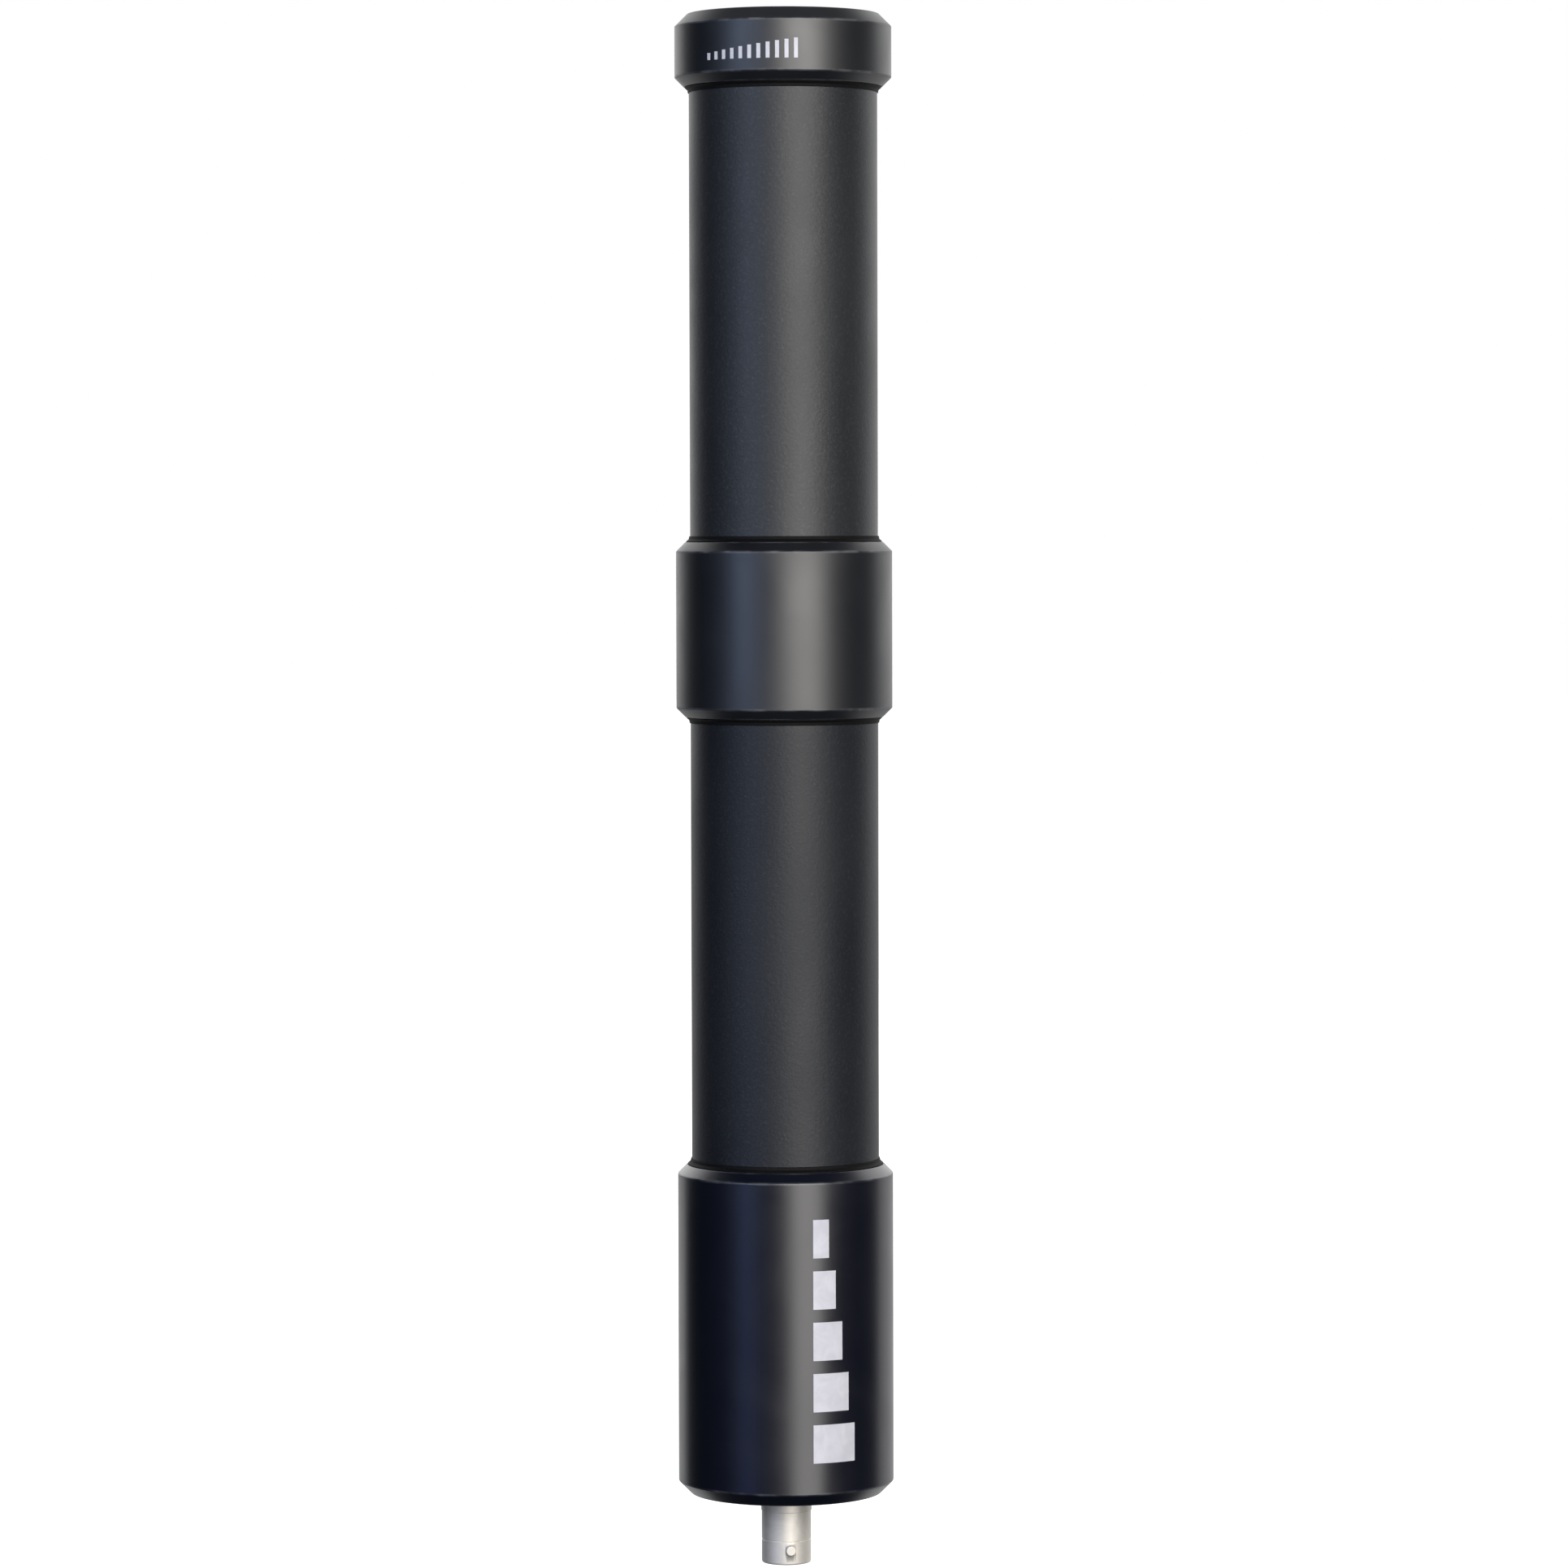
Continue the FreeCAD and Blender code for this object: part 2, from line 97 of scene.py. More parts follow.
def feed(tree, socket, value):
    """Links another node's output to a socket, or sets the socket to a plain value."""
    if isinstance(value, bpy.types.NodeSocket):
        tree.links.new(value, socket)
    else:
        socket.default_value = value


def add(tree, kind, sockets=None, **settings):
    """Adds a node; its sockets take values or other nodes' outputs."""
    made = tree.nodes.new(kind)
    for name, value in settings.items():
        setattr(made, name, value)
    for name, value in (sockets or {}).items():
        feed(tree, made.inputs[name], value)
    return made


floor_half = 6.0
floor_mesh = bpy.data.meshes.new("floor")
floor_z = cad_box[0].z
floor_mesh.from_pydata([(-floor_half, -floor_half, floor_z), (floor_half, -floor_half, floor_z),
                        (floor_half, floor_half, floor_z), (-floor_half, floor_half, floor_z)],
                       [], [(0, 1, 2, 3)])
floor = put("floor", floor_mesh)
for part_of_light in ("diffuse", "glossy", "transmission", "shadow"):
    setattr(floor, "visible_" + part_of_light, False)

floor_paint = bpy.data.materials.new("pale_floor")
floor_paint.use_nodes = True
paint = floor_paint.node_tree
paint.nodes.clear()
seen = add(paint, "ShaderNodeLightPath")
matt = add(paint, "ShaderNodeBsdfDiffuse", {"Color": (0.55, 0.55, 0.55, 1)})
glow = add(paint, "ShaderNodeEmission", {"Color": (1, 1, 1, 1), "Strength": 1.05})
lit = add(paint, "ShaderNodeAddShader", {0: matt.outputs[0], 1: glow.outputs[0]})
mix = add(paint, "ShaderNodeMixShader", {0: seen.outputs["Is Camera Ray"], 1: matt.outputs[0],
                                         2: lit.outputs[0]})
add(paint, "ShaderNodeOutputMaterial", {"Surface": mix.outputs[0]})
floor_mesh.materials.append(floor_paint)

air = bpy.data.worlds.new("studio_air")
air.use_nodes = True
air.node_tree.nodes.clear()
seen = add(air.node_tree, "ShaderNodeLightPath")
dim = add(air.node_tree, "ShaderNodeBackground", {"Color": (0.75, 0.85, 1, 1), "Strength": 0.02})
pale = add(air.node_tree, "ShaderNodeBackground", {"Color": (1, 1, 1, 1), "Strength": 1.0})
mix = add(air.node_tree, "ShaderNodeMixShader", {0: seen.outputs["Is Camera Ray"],
                                                 1: dim.outputs[0], 2: pale.outputs[0]})
add(air.node_tree, "ShaderNodeOutputWorld", {"Surface": mix.outputs[0]})
scene.world = air


def hang(name, panel, place, target):
    """Hangs a lamp that faces the target and that the camera doesn't see."""
    lamp = put(name, panel)
    lamp.location = place
    lamp.rotation_euler = (Vector(target) - lamp.location).to_track_quat("-Z", "Y").to_euler()
    lamp.visible_camera = False


def soft_light(name, azimuth, distance, low, high, width, glow, colour):
    """A tall panel that faces the antenna, with the glow of its face given as radiance.

    Azimuth 0 is the camera's side and 90 the right.
    """
    turn = math.radians(azimuth)
    panel = bpy.data.lights.new(name, "AREA")
    panel.shape = "RECTANGLE"
    panel.size = width
    panel.size_y = high - low
    panel.energy = glow * math.pi * width * (high - low)
    panel.color = colour
    rise = (low + high) / 2
    hang(name, panel, place=(distance * math.sin(turn), -distance * math.cos(turn), rise),
         target=(0, 0, rise))


warm_white = (1.0, 0.97, 0.93)
pale_blue = (0.56, 0.70, 1.0)
deep_blue = (0.16, 0.26, 1.0)
white = (1, 1, 1)
soft_light("key_upper", azimuth=20, distance=1.5, low=0.14, high=1.05, width=1.15, glow=6.6,
           colour=warm_white)
soft_light("key_lower", azimuth=23, distance=1.5, low=-0.65, high=0.14, width=0.85, glow=2.5,
           colour=warm_white)
soft_light("fill_upper", azimuth=-42, distance=1.4, low=0.18, high=0.80, width=0.60, glow=4.3,
           colour=pale_blue)
soft_light("fill_lower", azimuth=-42, distance=1.4, low=-0.45, high=0.15, width=0.50, glow=0.30,
           colour=deep_blue)
for side, azimuth, width, upper_glow, lower_glow in (("right", 148, 1.60, 1.6, 0.75),
                                                     ("left", -158, 1.15, 1.8, 0.75)):
    soft_light(side + "_upper", azimuth, distance=1.3, low=0.12, high=1.40, width=width,
               glow=upper_glow, colour=white)
    soft_light(side + "_lower", azimuth, distance=1.3, low=-1.10, high=0.12, width=width,
               glow=lower_glow, colour=white)
overhead = bpy.data.lights.new("overhead", "AREA")
overhead.size = 0.8
overhead.energy = 2.0
hang("overhead", overhead, place=(0, 0.8, 1.5), target=(0, 0, 0))


# Base housing ---------------------------------------------------------------------------------
# The heavy lower fitting: a smooth black moulding finished on a lathe, bevelled at both ends. The
# jack sits in its floor and the lower tube is glued into its mouth, against a step inside.

MM = 0.001
BODY = "root"
FLOAT = "NodeSocketFloat"
INTEGER = "NodeSocketInt"
VECTOR = "NodeSocketVector"
MATERIAL = "NodeSocketMaterial"
GEOMETRY = "NodeSocketGeometry"


def rounded(corners, steps=6, support=0.25):
    """Points (radius, height, edge) along an outline of (radius, height, rounding) corners, mm.

    The edge value is 1 on a rounding and 0 on the flats, and carries the wear on the edges.
    """
    points = []
    count = len(corners)
    for i, corner in enumerate(corners):
        here = Vector(corner[:2])
        rounding = corner[2] if len(corner) > 2 else 0
        if not rounding:
            points.append((*here, 0.0))
            continue
        back = (Vector(corners[i - 1][:2]) - here).normalized()
        ahead = (Vector(corners[(i + 1) % count][:2]) - here).normalized()
        half = back.angle(ahead) / 2
        setback = rounding / math.tan(half)
        centre = here + (back + ahead).normalized() * rounding / math.sin(half)
        start = here + back * setback - centre
        sweep = start.angle_signed(here + ahead * setback - centre)
        points.append((*(here + back * (setback + support)), 0.0))
        for step in range(steps + 1):
            turn = -sweep * step / steps
            spoke = Vector((start.x * math.cos(turn) - start.y * math.sin(turn),
                            start.x * math.sin(turn) + start.y * math.cos(turn)))
            points.append((*(centre + spoke), 1.0))
        points.append((*(here + ahead * (setback + support)), 0.0))
    return points


def outline_mesh(name, corners, closed=True, steps=6, support=0.25):
    """The outline as a string of points in the XZ plane, turned so that the shell faces out."""
    points = rounded(corners, steps, support)
    if closed:
        points.append(points[0])
    area = sum(a[0] * b[1] - b[0] * a[1] for a, b in zip(points, points[1:] + points[:1]))
    if area < 0:
        points.reverse()
    mesh = bpy.data.meshes.new(name)
    mesh.from_pydata([(r * MM, 0, z * MM) for r, z, _ in points],
                     [(i, i + 1) for i in range(len(points) - 1)], [])
    edge = mesh.attributes.new("edge", "FLOAT", "POINT")
    edge.data.foreach_set("value", [point[2] for point in points])
    return mesh


def new_group(kind, name, inputs, outputs):
    """An empty node group, with inputs {name: (socket type, default)} and outputs {name: type}."""
    tree = bpy.data.node_groups.new(name, kind)
    for label, (socket_type, default) in inputs.items():
        socket = tree.interface.new_socket(name=label, in_out="INPUT", socket_type=socket_type)
        if default is not None:
            socket.default_value = default
    for label, socket_type in outputs.items():
        tree.interface.new_socket(name=label, in_out="OUTPUT", socket_type=socket_type)
    return tree, add(tree, "NodeGroupInput").outputs


def new_tree(name, inputs):
    """An empty Geometry Nodes tree that takes a mesh and some named inputs."""
    tree, given = new_group("GeometryNodeTree", name, {"Geometry": (GEOMETRY, None), **inputs},
                            {"Geometry": GEOMETRY})
    tree.is_modifier = True
    return tree, given


def end_tree(tree, geometry, material):
    """Realizes what the tree has made, gives it its material and puts it out."""
    real = add(tree, "GeometryNodeRealizeInstances", {"Geometry": geometry})
    painted = add(tree, "GeometryNodeSetMaterial",
                  {"Geometry": real.outputs[0], "Material": material})
    add(tree, "NodeGroupOutput", {"Geometry": painted.outputs[0]})


def maths(tree, operation, *values):
    return add(tree, "ShaderNodeMath", dict(enumerate(values)), operation=operation).outputs[0]


def parted(tree, vector):
    """The x, y and z of a vector."""
    return add(tree, "ShaderNodeSeparateXYZ", {0: vector}).outputs


def joined(tree, x, y, z):
    return add(tree, "ShaderNodeCombineXYZ", {0: x, 1: y, 2: z}).outputs[0]


def round_axis(tree, radius, angle, height):
    """The point at that radius, angle and height round the Z axis."""
    return joined(tree, maths(tree, "MULTIPLY", radius, maths(tree, "COSINE", angle)),
                  maths(tree, "MULTIPLY", radius, maths(tree, "SINE", angle)), height)


def off_axis(tree, vector):
    """How far a point is from the Z axis."""
    x, y, _ = parted(tree, vector)
    return add(tree, "ShaderNodeVectorMath", {0: joined(tree, x, y, 0)},
               operation="LENGTH").outputs["Value"]


def turning_tree():
    """Spins an outline round the Z axis into a closed shell, with UVs and the edge value."""
    tree, given = new_tree("turned_on_a_lathe", {
        "Segments": (INTEGER, 240), "Material": (MATERIAL, None)})
    size = add(tree, "GeometryNodeAttributeDomainSize", {"Geometry": given["Geometry"]})
    columns = maths(tree, "ADD", given["Segments"], 1)
    net = add(tree, "GeometryNodeMeshGrid", {"Size X": 1.0, "Size Y": 1.0, "Vertices X": columns,
                                             "Vertices Y": size.outputs["Point Count"]})
    place = add(tree, "GeometryNodeInputPosition")
    across, up, _ = parted(tree, place.outputs[0])
    angle = maths(tree, "MULTIPLY", maths(tree, "ADD", across, 0.5), 2 * math.pi)
    last = maths(tree, "SUBTRACT", size.outputs["Point Count"], 1)
    along = maths(tree, "MULTIPLY", maths(tree, "ADD", up, 0.5), last)
    index = maths(tree, "ROUND", along)
    edge = add(tree, "GeometryNodeInputNamedAttribute", {"Name": "edge"}, data_type="FLOAT")
    edge_here = add(tree, "GeometryNodeSampleIndex",
                    {"Geometry": given["Geometry"], "Value": edge.outputs[0], "Index": index},
                    data_type="FLOAT")
    point = add(tree, "GeometryNodeSampleIndex",
                {"Geometry": given["Geometry"], "Value": place.outputs[0], "Index": index},
                data_type="FLOAT_VECTOR")
    kept = add(tree, "GeometryNodeStoreNamedAttribute",
               {"Geometry": net.outputs["Mesh"], "Name": "edge", "Value": edge_here.outputs[0]},
               data_type="FLOAT", domain="POINT")
    mapped = add(tree, "GeometryNodeStoreNamedAttribute",
                 {"Geometry": kept.outputs[0], "Name": "UVMap", "Value": net.outputs["UV Map"]},
                 data_type="FLOAT2", domain="CORNER")
    radius, _, height = parted(tree, point.outputs[0])
    placed = add(tree, "GeometryNodeSetPosition",
                 {"Geometry": mapped.outputs[0],
                  "Position": round_axis(tree, radius, angle, height)})
    sewn = add(tree, "GeometryNodeMergeByDistance", {"Geometry": placed.outputs[0],
                                                     "Distance": 1e-6})
    smooth = add(tree, "GeometryNodeSetShadeSmooth", {"Geometry": sewn.outputs[0]})
    end_tree(tree, smooth.outputs[0], given["Material"])
    return tree


def evaluated_mesh(piece, **how):
    """The mesh that a piece's modifiers make."""
    graph = bpy.context.evaluated_depsgraph_get()
    return bpy.data.meshes.new_from_object(piece.evaluated_get(graph), depsgraph=graph, **how)


def grown(name, tree, start, **values):
    """Runs a tree on a starting mesh and returns what it makes as a plain object."""
    seed = put(name + "_start", start)
    modifier = seed.modifiers.new("tree", "NODES")
    modifier.node_group = tree
    for item in tree.interface.items_tree:
        label = item.name.lower().replace(" ", "_")
        if item.in_out == "INPUT" and label in values:
            modifier[item.identifier] = values[label]
    seed.modifiers.new("flat_faces_stay_flat", "WEIGHTED_NORMAL").keep_sharp = True
    mesh = evaluated_mesh(seed, preserve_all_data_layers=True)
    mesh.name = name
    mesh.materials.clear()
    mesh.materials.append(values["material"])
    mesh.polygons.foreach_set("material_index", [0] * len(mesh.polygons))
    piece = put(name, mesh)
    bpy.data.objects.remove(seed)
    return piece


def new_effect(name, inputs, *outputs):
    """An empty shader node group: a place and numbers {name: default} in, named numbers out."""
    numbers = {label: (FLOAT, default) for label, default in inputs.items()}
    return new_group("ShaderNodeTree", name, {"Place": (VECTOR, None), **numbers},
                     {label: FLOAT for label in outputs})


def ranged(tree, value, low, high, first=0.0, last=1.0):
    """Turns a value from first to last into one from low to high."""
    return add(tree, "ShaderNodeMapRange", {"Value": value, "From Min": first, "From Max": last,
                                            "To Min": low, "To Max": high}).outputs[0]


def lathe_marks_effect():
    """Fine rings left by the turning tool: a height that changes with radius and height only."""
    tree, given = new_effect("lathe_marks", {"Spacing": 0.0003}, "Height")
    grooves = joined(tree, off_axis(tree, given["Place"]), parted(tree, given["Place"])[2], 0)
    scale = maths(tree, "DIVIDE", 1.0, given["Spacing"])
    noise = add(tree, "ShaderNodeTexNoise", {"Vector": grooves, "Scale": scale, "Detail": 2.0,
                                             "Roughness": 0.6}, noise_dimensions="2D")
    add(tree, "NodeGroupOutput", {"Height": noise.outputs[0]})
    return tree


def fine_grain_effect():
    """Grain of a moulded or blasted surface: height, and a fleck mask for its lighter points."""
    tree, given = new_effect("fine_grain", {"Grain": 0.0004}, "Height", "Fleck")
    scale = maths(tree, "DIVIDE", 1.0, given["Grain"])
    cells = add(tree, "ShaderNodeTexVoronoi", {"Vector": given["Place"], "Scale": scale},
                feature="SMOOTH_F1")
    noise = add(tree, "ShaderNodeTexNoise", {"Vector": given["Place"], "Scale": scale,
                                             "Detail": 3.0, "Roughness": 0.65})
    height = maths(tree, "ADD", maths(tree, "MULTIPLY", cells.outputs["Distance"], 0.6),
                   maths(tree, "MULTIPLY", noise.outputs[0], 0.7))
    fleck = ranged(tree, noise.outputs[0], 0, 1, first=0.52, last=0.72)
    add(tree, "NodeGroupOutput", {"Height": height, "Fleck": fleck})
    return tree


def handling_effect():
    """Faint smears from hands and cloths, in soft patches of about the given size."""
    tree, given = new_effect("handling", {"Size": 0.02, "Seed": 0.0}, "Smear")
    scale = maths(tree, "DIVIDE", 1.0, given["Size"])
    noise = add(tree, "ShaderNodeTexNoise", {"Vector": given["Place"], "W": given["Seed"],
                                             "Scale": scale, "Detail": 4.0, "Distortion": 0.8},
                noise_dimensions="4D")
    smear = ranged(tree, noise.outputs[0], 0, 1, first=0.35, last=0.75)
    add(tree, "NodeGroupOutput", {"Smear": smear})
    return tree


def edge_wear_and_highlight_effect():
    """Edge wear and painted edge highlight: the stored edge value, broken up by noise."""
    tree, given = new_effect("worn_edge", {"Edge": 0.0, "Amount": 0.5}, "Wear")
    noise = add(tree, "ShaderNodeTexNoise", {"Vector": given["Place"], "Scale": 260.0,
                                             "Detail": 4.0})
    patch = ranged(tree, noise.outputs[0], 0, 1, first=0.42, last=0.62)
    held = maths(tree, "MULTIPLY", given["Edge"], maths(tree, "ADD", patch, 0.25))
    wear = maths(tree, "MULTIPLY", held, given["Amount"])
    add(tree, "NodeGroupOutput", {"Wear": add(tree, "ShaderNodeClamp", {0: wear}).outputs[0]})
    return tree


lathe_marks = lathe_marks_effect()
fine_grain = fine_grain_effect()
handling = handling_effect()
worn_edge = edge_wear_and_highlight_effect()


def new_material(name):
    """An empty material, its node tree and the Object coordinates."""
    material = bpy.data.materials.new(name)
    material.use_nodes = True
    tree = material.node_tree
    tree.nodes.clear()
    return material, tree, add(tree, "ShaderNodeTexCoord").outputs["Object"]


def effect(tree, group, **values):
    """Places a shared effect in a material; values are its inputs by lower-case name."""
    placed = add(tree, "ShaderNodeGroup", node_tree=group)
    for socket in placed.inputs:
        if socket.name.lower() in values:
            feed(tree, socket, values[socket.name.lower()])
    return placed.outputs


def mixed(tree, factor, first, second):
    """A colour between two others."""
    return add(tree, "ShaderNodeMix", {"Factor": factor, 6: first, 7: second},
               data_type="RGBA").outputs[2]


def dress(tree, colour, rough, relief=None, strength=0.2, depth=0.00002, **others):
    """Adds the shader: its colour, roughness, the relief that tilts it, and its other inputs.

    The others go by lower-case name, with underscores for spaces.
    """
    shader = add(tree, "ShaderNodeBsdfPrincipled", {"Base Color": colour, "Roughness": rough})
    if relief is not None:
        bump = add(tree, "ShaderNodeBump", {"Height": relief, "Strength": strength,
                                            "Distance": depth})
        feed(tree, shader.inputs["Normal"], bump.outputs[0])
    for socket in shader.inputs:
        label = socket.name.lower().replace(" ", "_")
        if label in others:
            feed(tree, socket, others[label])
    add(tree, "ShaderNodeOutputMaterial", {"Surface": shader.outputs[0]})


def turned_plastic(name, colour, rubbed_edge_and_highlight, gloss, shine, marks, seed):
    """Black plastic off a lathe: ring marks, smears, edges paled by wear and painted highlight."""
    material, tree, place = new_material(name)
    edge = add(tree, "ShaderNodeAttribute", attribute_name="edge").outputs["Fac"]
    wear = effect(tree, worn_edge, place=place, edge=edge, amount=0.55)["Wear"]
    smear = effect(tree, handling, place=place, size=0.018, seed=seed)["Smear"]
    rings = effect(tree, lathe_marks, place=place, spacing=0.00035)["Height"]
    grain = effect(tree, fine_grain, place=place, grain=0.00025)
    body = mixed(tree, grain["Fleck"], colour, [c * 1.35 for c in colour[:3]] + [1])
    rough = maths(tree, "ADD", ranged(tree, smear, gloss, gloss + 0.07),
                  maths(tree, "MULTIPLY", wear, 0.12))
    relief = maths(tree, "ADD", rings, maths(tree, "MULTIPLY", grain["Height"], 0.5))
    # The pale edge colour is rubbed wear, made paler still to paint the highlight along the rounded
    # edges.
    dress(tree, mixed(tree, wear, body, rubbed_edge_and_highlight), rough, relief, strength=marks, ior=shine)
    return material


def span(node):
    """Outside radius, bottom and top of a CAD node, in millimetres."""
    low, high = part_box(node)
    return (high.x - low.x) / 2 / MM, low.z / MM, high.z / MM


turning = turning_tree()

base_r, base_bottom, base_top = span("base_housing")
tube_r, tube_foot = span("lower_tube")[:2]
seal_r, seal_bottom = span("base_seal_ring")[:2]
jack_r, jack_tip, jack_end = span("bnc_body")
end_bevel = 2.4
mouth_bevel = base_r - seal_r
edge_round = 0.35
tube_wall = 2.0
socket_r = tube_r + 0.05            # leaves room for the glue
floor_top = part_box("ground_lug")[0].z / MM
jack_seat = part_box("bnc_flange_gasket")[1].z / MM
flange_seat_r = jack_r + 0.1
tail_r = 4.82

# Its pale edge colour is partly rubbed wear and partly a painted highlight on the rounded edges.
base_plastic = turned_plastic("base_gloss_plastic", colour=(0.0022, 0.0031, 0.0100, 1),
                              rubbed_edge_and_highlight=(0.09, 0.095, 0.11, 1), gloss=0.29, shine=1.80, marks=0.10,
                              seed=1.0)
base = grown("base_housing_shell", turning, outline_mesh("base_outline", [
    (tail_r, jack_seat),
    (flange_seat_r, jack_seat, 0.05),
    (flange_seat_r, base_bottom, 0.2),
    (base_r - end_bevel, base_bottom, edge_round),
    (base_r, base_bottom + end_bevel, edge_round),
    (base_r, base_top - mouth_bevel, edge_round),
    (seal_r, base_top, 0.12),
    (seal_r, seal_bottom),
    (socket_r, seal_bottom),
    (socket_r, tube_foot),
    (tube_r - tube_wall, tube_foot),
    (tube_r - tube_wall, floor_top, 0.8),
    (tail_r, floor_top),
]), material=base_plastic)
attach(base, BODY)
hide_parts("base_housing")


# Sealing rings --------------------------------------------------------------------------------
# Four black rubber rings, one in each mouth that a tube enters. They taper to a lip that stands
# proud of the mouth and shows as a dark line round the tube. They are all cut from one moulding.

def rubber_finish():
    """Matt black rubber with a fine moulded grain and a trace of bloom."""
    material, tree, place = new_material("seal_rubber")
    grain = effect(tree, fine_grain, place=place, grain=0.0003)
    bloom = effect(tree, handling, place=place, size=0.006, seed=3.0)["Smear"]
    colour = mixed(tree, ranged(tree, bloom, 0, 0.4), (0.002, 0.002, 0.0025, 1),
                   (0.006, 0.006, 0.0065, 1))
    dress(tree, colour, ranged(tree, grain["Fleck"], 0.70, 0.82), grain["Height"],
          strength=0.3, depth=0.00004, ior=1.30)
    return material


rubber = rubber_finish()
proud = 1.0
lip_foot = 0.30                     # how far the lip stands off the tube at its foot
lip_end = 0.18                      # and at its end
taper_height = 0.42
play = 0.02
for node, outward in (("base_seal_ring", 1), ("collar_lower_seal_ring", -1),
                      ("collar_upper_seal_ring", 1), ("cap_seal_ring", -1)):
    ring_r, low, high = span(node)
    inner_end, outer_end = (low, high) if outward > 0 else (high, low)
    mouth = outer_end - outward * proud
    seal = grown(node + "_moulding", turning, outline_mesh(node, [
        (tube_r, inner_end),
        (ring_r - play, inner_end),
        (ring_r - play, mouth, 0.05),
        (tube_r + lip_foot, mouth + outward * taper_height, 0.1),
        (tube_r + lip_end, outer_end, 0.08),
        (tube_r, outer_end),
    ], support=0.02), segments=160, material=rubber)
    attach(seal, BODY)
    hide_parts(node)


# Cover tubes ----------------------------------------------------------------------------------
# Two lengths of the same black plastic tube that radio waves pass through. The surface has a fine
# blasted texture, the cut ends are eased, and both stand in their sockets on a film of glue.

def blasted_plastic(name, charcoal_dark, charcoal_pale, shine):
    """Matt charcoal plastic with a fine pebbled texture and a few smears."""
    material, tree, place = new_material(name)
    edge = add(tree, "ShaderNodeAttribute", attribute_name="edge").outputs["Fac"]
    grain = effect(tree, fine_grain, place=place, grain=0.00055)
    coarse = effect(tree, fine_grain, place=place, grain=0.0016)["Height"]
    smear = effect(tree, handling, place=place, size=0.03, seed=7.0)["Smear"]
    wear = effect(tree, worn_edge, place=place, edge=edge, amount=0.5)["Wear"]
    charcoal = mixed(tree, grain["Fleck"], charcoal_dark, charcoal_pale)
    dusty = mixed(tree, ranged(tree, smear, 0, 0.25), charcoal, (0.03, 0.033, 0.036, 1))
    relief = maths(tree, "ADD", grain["Height"], maths(tree, "MULTIPLY", coarse, 0.5))
    dress(tree, mixed(tree, wear, dusty, (0.06, 0.06, 0.065, 1)),
          ranged(tree, smear, 0.48, 0.57), relief, strength=0.35, depth=0.00009, ior=shine)
    return material


# The lower tube's darker colours and lower shine are painted shade for the weaker light lower down;
# both tubes are the same plastic.
for node, dark, pale, shine in (
        ("lower_tube", (0.0080, 0.0100, 0.0150, 1), (0.020, 0.023, 0.031, 1), 1.49),
        ("upper_tube", (0.0130, 0.0150, 0.0185, 1), (0.032, 0.035, 0.041, 1), 1.60)):
    outer_r, low, high = span(node)
    blasted = blasted_plastic(node + "_matte_plastic", dark, pale, shine)
    tube = grown(node + "_sleeve", turning, outline_mesh(node, [
        (outer_r - tube_wall, low, 0.15),
        (outer_r, low, 0.3),
        (outer_r, high, 0.3),
        (outer_r - tube_wall, high, 0.15),
    ]), material=blasted)
    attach(tube, BODY)
    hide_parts(node)


# Centre collar --------------------------------------------------------------------------------
# The sleeve that joins the two tubes, turned from black plastic rod to a satin finish. A web across
# its middle keeps the tubes apart and carries the feed board.

# Its pale edge colour is partly rubbed wear and partly a painted highlight on the rounded edges.
satin_plastic = turned_plastic("fitting_satin_plastic", colour=(0.0045, 0.0058, 0.0092, 1),
                               rubbed_edge_and_highlight=(0.12, 0.125, 0.14, 1), gloss=0.41, shine=1.78, marks=0.16,
                               seed=5.0)
collar_r, collar_low, collar_high = span("centre_collar")
web_low = span("lower_tube")[2]
web_high = span("upper_tube")[1]
web_hole_r = 6.0
collar = grown("centre_collar_shell", turning, outline_mesh("collar_outline", [
    (seal_r, collar_low, 0.12),
    (collar_r, collar_low + mouth_bevel, edge_round),
    (collar_r, collar_high - mouth_bevel, edge_round),
    (seal_r, collar_high, 0.12),
    (seal_r, span("collar_upper_seal_ring")[1]),
    (socket_r, span("collar_upper_seal_ring")[1]),
    (socket_r, web_high),
    (web_hole_r, web_high, 0.3),
    (web_hole_r, web_low, 0.3),
    (socket_r, web_low),
    (socket_r, span("collar_lower_seal_ring")[2]),
    (seal_r, span("collar_lower_seal_ring")[2]),
]), material=satin_plastic)
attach(collar, BODY)
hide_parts("centre_collar")


# End cap --------------------------------------------------------------------------------------
# A shallow cup turned from the same rod as the collar and glued over the end of the upper tube.

cap_r, cap_low, cap_high = span("end_cap")
roof = span("upper_tube")[2]
cap = grown("end_cap_shell", turning, outline_mesh("cap_outline", [
    (0, roof),
    (socket_r, roof, 0.2),
    (socket_r, span("cap_seal_ring")[2]),
    (seal_r, span("cap_seal_ring")[2]),
    (seal_r, cap_low, 0.12),
    (cap_r, cap_low + mouth_bevel, edge_round),
    (cap_r, cap_high - end_bevel, edge_round),
    (cap_r - end_bevel, cap_high, edge_round),
    (0, cap_high),
], closed=False), material=satin_plastic)
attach(cap, BODY)
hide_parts("end_cap")


# Printed bars ---------------------------------------------------------------------------------
# Pad-printed pale ink: five bars that grow down the base and a row of fine ticks round the cap. Each
# is a thin layer of ink bent round the wall that carries it.

